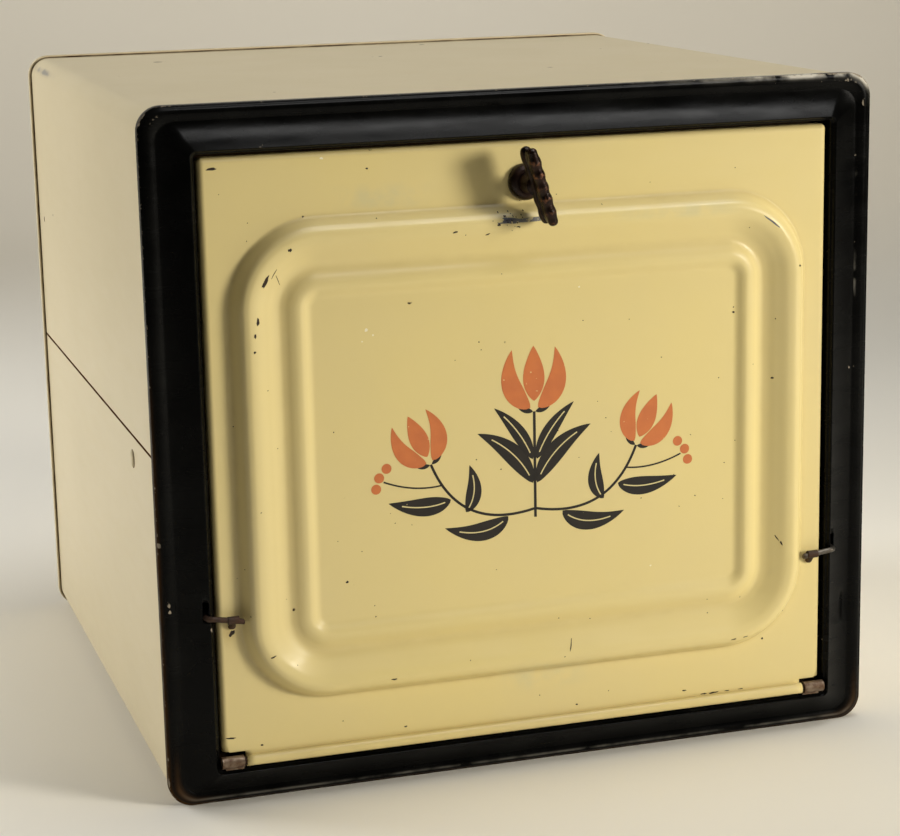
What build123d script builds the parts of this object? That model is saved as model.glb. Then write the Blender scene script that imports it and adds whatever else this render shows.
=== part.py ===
from build123d import *
import os
from math import atan2, cos, degrees, hypot, radians, sin, tan

# A drop-front bread box of painted sheet steel. Sizes are in millimetres, X to the right,
# Y to the back and Z up. The origin lies on the standing plane, under the middle of the box.

os.makedirs("parts", exist_ok=True)

# Case
width = 340.0
height = 311.6
depth = 329.4
corner_radius = 11.0
sheet = 0.8
slip_fit = 0.1
running_fit = 0.08
rim_overhang = 1.4
seam_height = 159.0
seam_lap = 10.0
seam_joggle = 2.5
back_rim_depth = 4.5
back_recess = 6.0
rim_round = 0.5

# Front frame: an outer bead, a valley inside it, and a cove that rises to a ridge round the opening
side_member = 21.6
top_member = 19.9
bottom_member = 15.9
frame_flange = 4.5
edge_round = 0.9
crown_share = 0.17
valley_share = 0.34
bead_rise = 1.2
valley_rise = 0.1
ridge_rise = 7.0
ridge_corner = 2.5
cove_steps = 6
cove_power = 1.4
lip_depth = 10.0
stop_width = 5.0

# Door
door_gap = 1.7
door_recess = 2.75
door_bend = 3.5
door_corner = 2.0
stop_gap = 0.3
emboss_side_margin = 10.2
emboss_bottom_margin = 27.8
emboss_top_margin = 26.9
emboss_radius = 40.0
emboss_width = 34.0
bead_foot = 1.0
bead_crest = 6.6
bead_height = 8.6
groove_inset = 23.0
groove_height = 2.1
inner_bead_inset = 28.7
inner_bead_height = 3.2
panel_rise = 2.2
foot_round = 2.0
crest_round = 3.2
groove_round = 4.0
inner_round = 3.0

# Hinge: a wire in the curled lower edge of the door, held by two rolled straps
hinge_wire_radius = 1.7
wire_seat = 0.05
curl_gap = 1.15
curl_slit = 0.7
notch_width = 10.3
notch_height = 8.7
strap_width = 10.0
strap_gauge = 1.0
strap_rivet_radius = 1.25
wire_end_gap = 0.7

# Stays: bent wires between eyes on the door and slots in the frame
door_swing = 85.0
stay_radius = 1.1
stay_rise = 71.6
stay_gap = 0.5
stay_outset = 2.6
stay_spare = 13.0
stay_bend = 2.6
stay_hook = 6.0
stay_overhang = 2.6
slot_play = 0.3
eye_clearance = 1.3
eye_width = 5.0
eye_foot = 7.5

# Knob and latch
knob_drop = 17.9
bar_tilt = 17.0
bar_length = 35.5
bar_standoff = 14.4
back_lobe_radius = 2.7
lobe_spacing = 8.3
bar_web = 3.4
bead_radius = 2.8
bead_count = 7
bead_core = 2.2
rosette_radius = 8.2
rosette_rim = 0.8
rosette_height = 4.4
rosette_top_radius = 5.2
rosette_gap = 0.3
neck_radius = 3.5
neck_flare = 4.4
spindle_radius = 2.5
spindle_seat = 8.0
spindle_square = 3.4
nut_thread_radius = 1.7
nut_width = 7.0
nut_height = 2.8
washer_radius = 6.5
spacer_radius = 3.8
tongue_gap = 0.5
tongue_gauge = 1.2
tongue_reach = 22.0
tongue_width = 8.0

# Inside shelf
shelf_below_seam = 4.0
shelf_flange = 16.0
shelf_front_gap = 24.0
shelf_rivet_setback = 60.0
shelf_rivet_drop = 8.0
shelf_slot_length = 36.0
shelf_slot_width = 6.0
shelf_slot_columns = 6
shelf_slot_rows = 4
shelf_slot_pitch_x = 50.0
shelf_slot_pitch_y = 60.0
ledge_leg = 14.0
rivet_radius = 1.6
rivet_head_radius = 3.9
rivet_head = 1.1

# Depths along Y, from the plane of the frame's outer edge
knob_projection = ridge_rise - door_recess + bar_standoff + lobe_spacing + bead_radius
front = (knob_projection - depth) / 2
back = front + depth
ridge = front - ridge_rise
door_face = ridge + door_recess
door_inside = door_face + sheet
stop_face = ridge + lip_depth
door_back = stop_face - stop_gap
back_plate = back - back_recess

# Opening and door outlines
body_half = width / 2 - rim_overhang
body_top = height - rim_overhang
body_bottom = rim_overhang
body_radius = corner_radius - rim_overhang
inside_half = body_half - sheet
opening_half = width / 2 - side_member - sheet
opening_top = height - top_member - sheet
opening_bottom = bottom_member + sheet
door_half = opening_half - door_gap
door_top = opening_top - door_gap
emboss_half_width = door_half - emboss_side_margin
emboss_bottom = opening_bottom + emboss_bottom_margin
emboss_top = door_top - emboss_top_margin
shelf_height = seam_height - shelf_below_seam

# Hinge line
curl_radius = hinge_wire_radius + wire_seat + sheet
hinge_y = door_inside - curl_radius
hinge_z = opening_bottom + curl_gap + curl_radius
strap_bore = hinge_wire_radius + running_fit
strap_radius = strap_bore + strap_gauge
notch_inner = door_half - notch_width
notch_top = opening_bottom + notch_height
strap_outer = opening_half - wire_end_gap
strap_inner = strap_outer - strap_width
strap_tail_width = opening_half - ridge_corner - strap_inner

# Stay line: the long leg starts square to the line from the hinge to the eye
stay_height = opening_bottom + stay_rise
stay_x = width / 2 - side_member + stay_outset
stay_y = ridge - stay_gap - stay_radius
stay_lean = degrees(atan2(hinge_y - stay_y, stay_height - hinge_z))
stay_throw = 2 * hypot(hinge_y - stay_y, stay_height - hinge_z) * sin(radians(door_swing / 2))
stay_length = stay_throw + stay_spare
stay_steepest = radians(stay_lean + door_swing / 2)
eye_inner = emboss_half_width + eye_clearance
stay_inner_end = eye_inner - stay_overhang
eye_bore = stay_radius + running_fit
eye_radius = eye_bore + sheet

# Knob axis
knob_z = door_top - knob_drop
bar_back_y = door_face - bar_standoff
bar_front_y = bar_back_y - lobe_spacing
neck_start = door_face - rosette_height - rosette_gap
spindle_bore = spindle_radius + running_fit
tongue_front = stop_face + sheet + tongue_gap
tongue_back = tongue_front + tongue_gauge
knob_axis = Axis((0, door_face, knob_z), (0, 1, 0))


def upright(y):
    """The upright plane at depth y, with X to the right and Z up."""
    return Plane((0, y, 0), x_dir=(1, 0, 0), z_dir=(0, -1, 0))


def across(x):
    """The plane square to X, with Y to its right and Z up."""
    return Plane((x, 0, 0), x_dir=(0, 1, 0), z_dir=(1, 0, 0))


def rounded_outline(y, half_width, bottom, top, radius):
    """A rounded rectangle in the upright plane at depth y."""
    with BuildSketch(upright(y)) as outline:
        with Locations((0, (bottom + top) / 2)):
            RectangleRounded(2 * half_width, top - bottom, radius)
    return outline.sketch


def case_outline(y, inset):
    """The outline of the case at depth y, drawn in evenly by the inset."""
    return rounded_outline(y, width / 2 - inset, inset, height - inset, corner_radius - inset)


def frame_outline(share, y):
    """The frame's outline at depth y, at a share of the way from its outer edge to the ridge."""
    radius = corner_radius + share * (ridge_corner - corner_radius)
    return rounded_outline(
        y, width / 2 - share * side_member, share * bottom_member, height - share * top_member, radius
    )


def opening_outline(y, inset):
    """The outline of the frame's opening at depth y, drawn in evenly by the inset."""
    radius = ridge_corner - sheet
    return rounded_outline(y, opening_half - inset, opening_bottom + inset, opening_top - inset, radius)


def cove_depth(share):
    """Depth of the cove's front face: gentle at the valley and steepest at the ridge."""
    sweep_share = (share - valley_share) / (1 - valley_share)
    return front - valley_rise - (ridge_rise - valley_rise) * sweep_share**cove_power


cove_shares = [valley_share + (1 - valley_share) * step / cove_steps for step in range(cove_steps + 1)]

# Front frame: one pressed ring with a turned-back flange, a lip and a door stop
edge_shares = [(0.0, frame_flange), (0.0, edge_round), (0.02, edge_round / 3), (0.06, 0.0)]
skin_shares = [
    (0.7 * crown_share, -bead_rise * 0.8),
    (crown_share, -bead_rise),
    ((crown_share + valley_share) / 2, -bead_rise * 0.8),
]
with BuildPart() as frame_hollow:
    wall = rim_overhang - slip_fit
    hollow_sections = [case_outline(front + frame_flange + sheet, wall)]
    hollow_sections += [case_outline(front + edge_round + sheet, wall)]
    hollow_sections += [frame_outline(share, front + rise + sheet) for share, rise in skin_shares]
    hollow_sections += [frame_outline(share, cove_depth(share) + sheet) for share in cove_shares[:-1]]
    loft(hollow_sections, ruled=True)

with BuildPart() as front_frame:
    outer_sections = [frame_outline(share, front + rise) for share, rise in edge_shares + skin_shares]
    outer_sections += [frame_outline(share, cove_depth(share)) for share in cove_shares]
    loft(outer_sections, ruled=True)
    add(frame_hollow.part, mode=Mode.SUBTRACT)
    extrude(opening_outline(ridge, -sheet), amount=lip_depth + sheet, dir=(0, 1, 0))
    extrude(opening_outline(ridge, 0), amount=lip_depth, dir=(0, 1, 0), mode=Mode.SUBTRACT)
    extrude(opening_outline(stop_face, stop_width), amount=sheet, dir=(0, 1, 0), mode=Mode.SUBTRACT)
    slot_half = stay_radius + slot_play
    slot_share = (width / 2 - stay_x - slot_half) / side_member
    slot_setback = cove_depth(slot_share) + 2 * sheet - stay_y
    slot_low = stay_height - slot_half
    slot_high = stay_height + slot_setback * tan(stay_steepest) + stay_radius / cos(stay_steepest) + slot_play
    with BuildSketch(upright(ridge)):
        for sign in (-1, 1):
            with Locations((sign * stay_x, (slot_low + slot_high) / 2)):
                Rectangle(2 * slot_half, slot_high - slot_low)
    extrude(amount=ridge_rise, dir=(0, 1, 0), mode=Mode.SUBTRACT)
    strap_rivet_x = strap_inner + strap_tail_width / 2
    strap_rivet_y = (hinge_y + strap_radius + stop_face) / 2
    with BuildSketch(Plane.XY.offset(bottom_member)):
        with Locations((-strap_rivet_x, strap_rivet_y), (strap_rivet_x, strap_rivet_y)):
            Circle(strap_rivet_radius + slip_fit / 2)
    extrude(amount=sheet, mode=Mode.SUBTRACT)
front_frame.part.label = "front_frame"
export_step(front_frame.part, "parts/front_frame.step")

# Body: two wraps bent round the case and lapped along a seam on each side
wrap_start = front + edge_round + sheet
wrap_length = back - sheet - slip_fit - wrap_start
lap_length = back_plate - slip_fit - wrap_start
with BuildPart() as body_upper_wrap:
    with BuildSketch(upright(wrap_start)) as upper_profile:
        add(case_outline(wrap_start, rim_overhang))
        add(case_outline(wrap_start, rim_overhang + sheet), mode=Mode.SUBTRACT)
        with Locations((0, seam_height)):
            Rectangle(width, height, align=(Align.CENTER, Align.MIN), mode=Mode.INTERSECT)
    extrude(amount=wrap_length, dir=(0, 1, 0))
body_upper_wrap.part.label = "body_upper_wrap"
export_step(body_upper_wrap.part, "parts/body_upper_wrap.step")

with BuildPart() as body_lower_wrap:
    with BuildSketch(upright(wrap_start)) as lower_profile:
        add(case_outline(wrap_start, rim_overhang))
        add(case_outline(wrap_start, rim_overhang + sheet), mode=Mode.SUBTRACT)
        with Locations((0, seam_height - slip_fit)):
            Rectangle(width, height, align=(Align.CENTER, Align.MAX), mode=Mode.INTERSECT)
    extrude(amount=wrap_length, dir=(0, 1, 0))
    lap_half = inside_half - slip_fit
    with BuildSketch(upright(wrap_start)) as lap_profile:
        with Locations((0, seam_height - seam_joggle)):
            Rectangle(2 * lap_half, seam_joggle + seam_lap, align=(Align.CENTER, Align.MIN))
            Rectangle(2 * inside_half, seam_joggle - slip_fit, align=(Align.CENTER, Align.MIN))
            Rectangle(2 * (lap_half - sheet), height, align=(Align.CENTER, Align.MIN), mode=Mode.SUBTRACT)
    extrude(amount=lap_length, dir=(0, 1, 0))
    with BuildSketch(across(-width / 2)):
        with Locations((front + shelf_rivet_setback, shelf_height - shelf_rivet_drop)):
            Circle(rivet_radius + slip_fit / 2)
    extrude(amount=width, mode=Mode.SUBTRACT)
body_lower_wrap.part.label = "body_lower_wrap"
export_step(body_lower_wrap.part, "parts/body_lower_wrap.step")

# Back panel: a recessed plate whose edge is folded round the end of the body
with BuildPart() as back_panel:
    plate_inset = rim_overhang + sheet + slip_fit
    extrude(case_outline(back - back_rim_depth, 0), amount=back_rim_depth, dir=(0, 1, 0))
    groove_depth = back_rim_depth - sheet
    extrude(case_outline(back - back_rim_depth, rim_overhang - slip_fit), amount=groove_depth,
            dir=(0, 1, 0), mode=Mode.SUBTRACT)
    extrude(case_outline(back_plate, plate_inset), amount=back_recess, dir=(0, 1, 0))
    extrude(case_outline(back_plate + sheet, plate_inset + sheet), amount=back_recess, dir=(0, 1, 0),
            mode=Mode.SUBTRACT)
    fillet(back_panel.faces().sort_by(Axis.Y)[-1].outer_wire().edges(), radius=rim_round)
back_panel.part.label = "back_panel"
export_step(back_panel.part, "parts/back_panel.step")

# Shelf: a slotted tray with turned-down edges, riveted to the sides and carried on a ledge behind
shelf_half = inside_half - slip_fit
shelf_front = front + shelf_front_gap
shelf_back = back_plate - slip_fit
shelf_bottom = shelf_height - shelf_flange
rivet_z = shelf_height - shelf_rivet_drop
rivet_y = front + shelf_rivet_setback
shelf_length = shelf_back - shelf_front
with BuildPart() as shelf:
    with BuildSketch(upright(shelf_front)):
        with Locations((0, shelf_height)):
            Rectangle(2 * shelf_half, shelf_flange, align=(Align.CENTER, Align.MAX))
        with Locations((0, shelf_height - sheet)):
            inner_width = 2 * (shelf_half - sheet)
            Rectangle(inner_width, shelf_flange, align=(Align.CENTER, Align.MAX), mode=Mode.SUBTRACT)
    extrude(amount=shelf_length, dir=(0, 1, 0))
    with BuildSketch(upright(shelf_front)):
        with Locations((0, shelf_height)):
            Rectangle(2 * shelf_half, shelf_flange / 2, align=(Align.CENTER, Align.MAX))
    extrude(amount=sheet, dir=(0, 1, 0))
    with BuildSketch(Plane.XY.offset(shelf_height - sheet)):
        with Locations((0, (shelf_front + shelf_back) / 2)):
            with GridLocations(shelf_slot_pitch_x, shelf_slot_pitch_y, shelf_slot_columns, shelf_slot_rows):
                SlotOverall(shelf_slot_length, shelf_slot_width)
    extrude(amount=sheet, mode=Mode.SUBTRACT)
    with BuildSketch(across(-shelf_half)):
        with Locations((rivet_y, rivet_z)):
            Circle(rivet_radius + slip_fit / 2)
    extrude(amount=2 * shelf_half, mode=Mode.SUBTRACT)
shelf.part.label = "shelf"
export_step(shelf.part, "parts/shelf.step")

with BuildPart() as shelf_ledge:
    with BuildSketch(across(-shelf_half + 2 * sheet)):
        with Locations((back_plate, shelf_height - sheet)):
            Rectangle(ledge_leg, sheet, align=(Align.MAX, Align.MAX))
            Rectangle(sheet, ledge_leg, align=(Align.MAX, Align.MAX))
    extrude(amount=2 * shelf_half - 4 * sheet)
shelf_ledge.part.label = "shelf_ledge"
export_step(shelf_ledge.part, "parts/shelf_ledge.step")

# A round-headed rivet is turned about its shank: a domed head, the shank and an upset tail
with BuildPart() as shelf_rivets:
    for sign in (-1, 1):
        seat = Plane((sign * body_half, rivet_y, rivet_z), x_dir=(0, 0, 1), z_dir=(sign, 0, 0))
        grip = body_half - shelf_half + sheet
        with BuildSketch(seat):
            Circle(rivet_head_radius)
        extrude(amount=rivet_head, taper=40)
        with BuildSketch(seat):
            Circle(rivet_radius)
        extrude(amount=-grip)
        with BuildSketch(seat.offset(-grip)):
            Circle(rivet_head_radius * 0.8)
        extrude(amount=-rivet_head)
shelf_rivets.part.label = "shelf_rivets"
export_step(shelf_rivets.part, "parts/shelf_rivets.step")

# Door: a shallow pan with a raised, ringed panel, a curled lower edge and a notch at each hinge
emboss_points = [
    (-foot_round, 0),
    (bead_foot, 0),
    (bead_crest, bead_height),
    (groove_inset, groove_height),
    (inner_bead_inset, inner_bead_height),
    (emboss_width, panel_rise),
    (emboss_width + inner_round, panel_rise),
]


def emboss_ring(face):
    """The filled ring of the raised panel on a face at this depth, as one swept half and its mirror."""
    with BuildPart() as ring:
        with BuildLine(upright(face)) as path:
            low = Line((0, emboss_bottom), (emboss_half_width - emboss_radius, emboss_bottom))
            turn = TangentArc(low @ 1, (emboss_half_width, emboss_bottom + emboss_radius), tangent=low % 1)
            side = Line(turn @ 1, (emboss_half_width, emboss_top - emboss_radius))
            over = TangentArc(side @ 1, (emboss_half_width - emboss_radius, emboss_top), tangent=side % 1)
            Line(over @ 1, (0, emboss_top))
        with BuildSketch(Plane((0, face, emboss_bottom), x_dir=(0, 0, 1), z_dir=(1, 0, 0))):
            with BuildLine():
                crown = FilletPolyline(
                    *emboss_points, radius=[foot_round, crest_round, groove_round, inner_round, inner_round]
                )
                Polyline(crown @ 1, (emboss_width + inner_round, -sheet), (-foot_round, -sheet), crown @ 0)
            make_face()
        sweep(path=path.wires()[0])
        mirror(about=Plane.YZ)
    return ring.part


def emboss_centre(face):
    """The raised middle of the panel on a face at this depth."""
    with BuildPart() as centre:
        inset = emboss_width + inner_round / 2
        middle = rounded_outline(
            face + sheet,
            emboss_half_width - inset,
            emboss_bottom + inset,
            emboss_top - inset,
            emboss_radius - inset,
        )
        extrude(middle, amount=panel_rise + sheet)
    return centre.part


with BuildPart() as door_void:
    extrude(rounded_outline(door_inside, door_half - sheet, 0, door_top - sheet, door_corner),
            amount=door_back - door_inside, dir=(0, 1, 0))
    fillet(door_void.faces().sort_by(Axis.Y)[0].edges(), radius=door_bend - sheet)
    add(emboss_ring(door_inside))
    add(emboss_centre(door_inside))

with BuildPart() as door_panel:
    extrude(rounded_outline(door_face, door_half, 0, door_top, door_corner),
            amount=door_back - door_face, dir=(0, 1, 0))
    fillet(door_panel.faces().sort_by(Axis.Y)[0].edges(), radius=door_bend)
    add(emboss_ring(door_face))
    add(emboss_centre(door_face))
    add(door_void.part, mode=Mode.SUBTRACT)
    with BuildSketch(upright(door_face)):
        Rectangle(width, hinge_z, align=(Align.CENTER, Align.MIN))
        for sign in (-1, 1):
            with Locations((sign * notch_inner, 0)):
                Rectangle(width, notch_top, align=(Align.MIN if sign > 0 else Align.MAX, Align.MIN))
    extrude(amount=door_back - door_face, dir=(0, 1, 0), mode=Mode.SUBTRACT)
    with BuildSketch(across(-notch_inner)):
        with Locations((hinge_y, hinge_z)):
            Circle(curl_radius)
            Circle(curl_radius - sheet, mode=Mode.SUBTRACT)
        with Locations((door_face, hinge_z)):
            Rectangle(curl_slit, curl_radius, align=(Align.MAX, Align.MIN), mode=Mode.SUBTRACT)
    extrude(amount=2 * notch_inner)
    with BuildSketch(upright(door_face)):
        with Locations((0, knob_z)):
            Circle(spindle_bore)
    extrude(amount=sheet, dir=(0, 1, 0), mode=Mode.SUBTRACT)
door_panel.part.label = "door_panel"
export_step(door_panel.part, "parts/door_panel.step")

# Hinge wire, straps and their rivets
with BuildPart() as hinge_wire:
    with BuildSketch(across(-strap_outer)):
        with Locations((hinge_y, hinge_z)):
            Circle(hinge_wire_radius)
    extrude(amount=2 * strap_outer)
hinge_wire.part.label = "hinge_wire"
export_step(hinge_wire.part, "parts/hinge_wire.step")

tail_top = opening_bottom + strap_gauge
for side, sign in (("left", -1), ("right", 1)):
    with BuildPart() as hinge_strap:
        with BuildSketch(across(sign * strap_inner)):
            with Locations((hinge_y, hinge_z)):
                Circle(strap_radius)
        extrude(amount=sign * strap_width)
        with BuildSketch(across(sign * strap_inner)):
            with Locations((hinge_y, hinge_z)):
                Rectangle(strap_radius, hinge_z - opening_bottom, align=(Align.MIN, Align.MAX))
            with Locations((hinge_y, opening_bottom)):
                Rectangle(door_back - hinge_y, strap_gauge, align=(Align.MIN, Align.MIN))
        extrude(amount=sign * strap_tail_width)
        with BuildSketch(across(sign * strap_inner)):
            with Locations((hinge_y, hinge_z)):
                Circle(strap_bore)
        extrude(amount=sign * strap_width, mode=Mode.SUBTRACT)
        with BuildSketch(Plane.XY.offset(opening_bottom)):
            with Locations((sign * strap_rivet_x, strap_rivet_y)):
                Circle(strap_rivet_radius + slip_fit / 2)
        extrude(amount=strap_gauge, mode=Mode.SUBTRACT)
    hinge_strap.part.label = f"hinge_strap_{side}"
    export_step(hinge_strap.part, f"parts/hinge_strap_{side}.step")

with BuildPart() as hinge_strap_rivets:
    for sign in (-1, 1):
        seat = Plane((sign * strap_rivet_x, strap_rivet_y, tail_top))
        with BuildSketch(seat):
            Circle(strap_rivet_radius * 1.7)
        extrude(amount=strap_gauge, taper=40)
        with BuildSketch(seat):
            Circle(strap_rivet_radius)
        extrude(amount=bottom_member - tail_top)
        with BuildSketch(Plane.XY.offset(bottom_member)):
            with Locations((sign * strap_rivet_x, strap_rivet_y)):
                Circle(strap_rivet_radius * 1.5)
        extrude(amount=-strap_gauge)
hinge_strap_rivets.part.label = "hinge_strap_rivets"
export_step(hinge_strap_rivets.part, "parts/hinge_strap_rivets.step")

# Stay rods and the eyes that hold them to the door
lean = radians(stay_lean)
for side, sign in (("left", -1), ("right", 1)):
    corner = Vector(sign * stay_x, stay_y, stay_height)
    tail = corner + Vector(0, cos(lean), sin(lean)) * stay_length
    with BuildPart() as stay_rod:
        with BuildLine() as stay_path:
            FilletPolyline(
                (sign * stay_inner_end, stay_y, stay_height),
                corner,
                tail,
                tail + Vector(sign * stay_hook, 0, 0),
                radius=stay_bend,
            )
        with BuildSketch(Plane(stay_path.line @ 0, z_dir=stay_path.line % 0)):
            Circle(stay_radius)
        sweep(path=stay_path.wires()[0])
    stay_rod.part.label = f"stay_rod_{side}"
    export_step(stay_rod.part, f"parts/stay_rod_{side}.step")

    with BuildPart() as stay_eye:
        with BuildSketch(across(sign * eye_inner)):
            with Locations((stay_y, stay_height)):
                Circle(eye_radius)
                Circle(eye_bore, mode=Mode.SUBTRACT)
            with Locations((stay_y, stay_height - eye_bore)):
                Rectangle(door_face - stay_y, sheet, align=(Align.MIN, Align.MAX))
        extrude(amount=sign * eye_width)
        with BuildSketch(upright(door_face)):
            foot_top = stay_height - eye_bore
            foot_edge = sign * (eye_inner + eye_width)
            with BuildLine():
                Polyline(
                    (sign * eye_inner, foot_top),
                    (foot_edge, foot_top),
                    (foot_edge, foot_top - sheet),
                    (sign * (eye_inner + eye_width / 2), foot_top - eye_foot),
                    (sign * eye_inner, foot_top - sheet),
                    close=True,
                )
            make_face()
        extrude(amount=sheet, dir=(0, -1, 0))
    stay_eye.part.label = f"stay_eye_{side}"
    export_step(stay_eye.part, f"parts/stay_eye_{side}.step")

# Knob: a domed rosette on the door and a turning handle, a wing with a plain back lobe and a beaded front one
turning = Plane((0, door_face, knob_z), x_dir=(1, 0, 0), z_dir=(0, 0, 1))
with BuildPart() as knob_rosette:
    with BuildSketch(turning):
        with BuildLine():
            Polyline(
                (rosette_top_radius, -rosette_height),
                (spindle_bore, -rosette_height),
                (spindle_bore, 0),
                (rosette_radius, 0),
                (rosette_radius, -rosette_rim),
            )
            RadiusArc((rosette_radius, -rosette_rim), (rosette_top_radius, -rosette_height), -rosette_height)
        make_face()
    revolve(axis=knob_axis)
knob_rosette.part.label = "knob_rosette"
export_step(knob_rosette.part, "parts/knob_rosette.step")

bar_plane = Plane(
    (0, bar_back_y, knob_z), x_dir=(0, -1, 0), z_dir=(-sin(radians(bar_tilt)), 0, cos(radians(bar_tilt)))
)
bead_span = bar_length - 2 * bead_radius
lobe_span = bar_length - 2 * back_lobe_radius
neck_top = rosette_height + rosette_gap
with BuildPart() as knob_handle:
    with BuildSketch(turning):
        with BuildLine():
            Polyline((neck_flare, -neck_top), (0, -neck_top), (0, -bar_standoff), (neck_flare, -bar_standoff))
            neck_waist = (neck_radius, -(bar_standoff + neck_top) / 2)
            ThreePointArc((neck_flare, -bar_standoff), neck_waist, (neck_flare, -neck_top))
        make_face()
    revolve(axis=knob_axis)
    with Locations(bar_plane):
        Cylinder(back_lobe_radius, lobe_span)
        with Locations((0, 0, -lobe_span / 2), (0, 0, lobe_span / 2)):
            Sphere(back_lobe_radius)
        with Locations((lobe_spacing / 2, 0, 0)):
            Box(lobe_spacing, bar_web, lobe_span)
        with Locations((lobe_spacing, 0, 0)):
            Cylinder(bead_core, bead_span)
        bead_pitch = bead_span / (bead_count - 1)
        bead_places = [(lobe_spacing, 0, bead_pitch * step - bead_span / 2) for step in range(bead_count)]
        with Locations(bead_places):
            Sphere(bead_radius)
    with BuildSketch(upright(neck_start)):
        with Locations((0, knob_z)):
            Circle(spindle_radius + slip_fit / 2)
    extrude(amount=spindle_seat, dir=(0, -1, 0), mode=Mode.SUBTRACT)
knob_handle.part.label = "knob_handle"
export_step(knob_handle.part, "parts/knob_handle.step")

nut_front = tongue_back + slip_fit / 2
nut_back = nut_front + nut_height
with BuildPart() as knob_spindle:
    with BuildSketch(upright(tongue_front)):
        with Locations((0, knob_z)):
            Circle(spindle_radius)
    extrude(amount=tongue_front - neck_start + spindle_seat, dir=(0, -1, 0))
    with BuildSketch(upright(tongue_front)):
        with Locations((0, knob_z)):
            Rectangle(spindle_square, spindle_square, rotation=bar_tilt)
    extrude(amount=tongue_gauge, dir=(0, 1, 0))
    with BuildSketch(upright(tongue_back)):
        with Locations((0, knob_z)):
            Circle(nut_thread_radius)
    extrude(amount=nut_height + slip_fit / 2 + sheet, dir=(0, 1, 0))
knob_spindle.part.label = "knob_spindle"
export_step(knob_spindle.part, "parts/knob_spindle.step")

# Latch: a washer and spacer behind the door, the tongue and its nut
washer_front = door_inside + 2 * slip_fit
with BuildPart() as latch_washer:
    with BuildSketch(upright(washer_front)):
        with Locations((0, knob_z)):
            Circle(washer_radius)
            Circle(spindle_radius + slip_fit / 2, mode=Mode.SUBTRACT)
    extrude(amount=sheet, dir=(0, 1, 0))
latch_washer.part.label = "latch_washer"
export_step(latch_washer.part, "parts/latch_washer.step")

spacer_front = washer_front + sheet
with BuildPart() as latch_spacer:
    with BuildSketch(upright(spacer_front)):
        with Locations((0, knob_z)):
            Circle(spacer_radius)
            Circle(spindle_radius + slip_fit / 2, mode=Mode.SUBTRACT)
    extrude(amount=tongue_front - spacer_front, dir=(0, 1, 0))
latch_spacer.part.label = "latch_spacer"
export_step(latch_spacer.part, "parts/latch_spacer.step")

with BuildPart() as latch_tongue:
    with BuildSketch(Plane((0, tongue_front, knob_z), x_dir=bar_plane.y_dir, z_dir=(0, -1, 0))):
        with Locations((tongue_reach / 2 - tongue_width / 4, 0)):
            SlotOverall(tongue_reach + tongue_width / 2, tongue_width)
        Rectangle(spindle_square + slip_fit, spindle_square + slip_fit, mode=Mode.SUBTRACT)
    extrude(amount=tongue_gauge, dir=(0, 1, 0))
latch_tongue.part.label = "latch_tongue"
export_step(latch_tongue.part, "parts/latch_tongue.step")

with BuildPart() as latch_nut:
    with BuildSketch(upright(nut_front)):
        with Locations((0, knob_z)):
            RegularPolygon(nut_width / 2, 6, major_radius=False)
            Circle(nut_thread_radius + slip_fit / 2, mode=Mode.SUBTRACT)
    extrude(amount=nut_height, dir=(0, 1, 0))
latch_nut.part.label = "latch_nut"
export_step(latch_nut.part, "parts/latch_nut.step")
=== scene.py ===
import logging
import math
from dataclasses import dataclass, field, fields
from enum import Enum

import bmesh
import bpy
import numpy as np
from mathutils import Matrix


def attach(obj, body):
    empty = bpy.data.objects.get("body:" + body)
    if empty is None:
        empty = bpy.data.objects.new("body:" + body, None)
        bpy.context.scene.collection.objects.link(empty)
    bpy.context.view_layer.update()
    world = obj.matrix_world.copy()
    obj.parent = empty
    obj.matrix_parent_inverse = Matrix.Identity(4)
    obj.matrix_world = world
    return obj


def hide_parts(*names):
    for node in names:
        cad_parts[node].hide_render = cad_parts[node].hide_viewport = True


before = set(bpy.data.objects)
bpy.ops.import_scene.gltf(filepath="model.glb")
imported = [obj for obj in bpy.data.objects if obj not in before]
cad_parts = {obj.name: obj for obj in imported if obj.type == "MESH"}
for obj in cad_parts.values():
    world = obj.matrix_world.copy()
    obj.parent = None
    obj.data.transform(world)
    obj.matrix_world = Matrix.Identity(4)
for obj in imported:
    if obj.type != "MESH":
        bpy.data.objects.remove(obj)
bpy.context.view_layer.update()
LOG = logging.getLogger("bread_box")

Pair = tuple[float, float]
Triple = tuple[float, float, float]
Finishes = dict[str, bpy.types.Material]

MM = 0.001
WELD = 0.02 * MM

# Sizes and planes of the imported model, in millimetres
HALF = 170.0
HEIGHT = 311.6
CORNER = 11.0
SHEET = 0.8
FRONT_Y = -149.825
DOOR_Y = FRONT_Y - 4.25
BACK_Y = FRONT_Y + 329.4
HINGE_Y = FRONT_Y - 6.0
HINGE_Z = 20.4
STAY_Y = FRONT_Y - 8.6
STAY_Z = 88.3
KNOB_Z = 271.3


class Side(Enum):
    """Left and right of the box, seen from its front."""

    LEFT = -1
    RIGHT = 1

    @property
    def word(self) -> str:
        """The side's name in lower case."""
        return self.name.lower()


class Shading(Enum):
    """How a mesh is shaded: smooth all over, or smooth up to an edge angle in degrees."""

    SMOOTH = 180.0
    CREASED = 35.0


# Arrays and meshes


def linear(code: str) -> tuple[float, float, float, float]:
    """Turns an sRGB hex colour into linear red, green, blue and alpha.

    Args:
        code: six hex digits with a leading hash.

    Returns:
        The linear colour with alpha 1.
    """
    value = np.array([int(code[i : i + 2], 16) for i in (1, 3, 5)]) / 255
    low, high = value / 12.92, ((value + 0.055) / 1.055) ** 2.4
    return (*np.where(value <= 0.04045, low, high).tolist(), 1.0)


def columns(*values: np.ndarray | float) -> np.ndarray:
    """The values side by side along a new last axis, with single ones spread to fit."""
    return np.stack(np.broadcast_arrays(*values), -1).astype(float)


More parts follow.
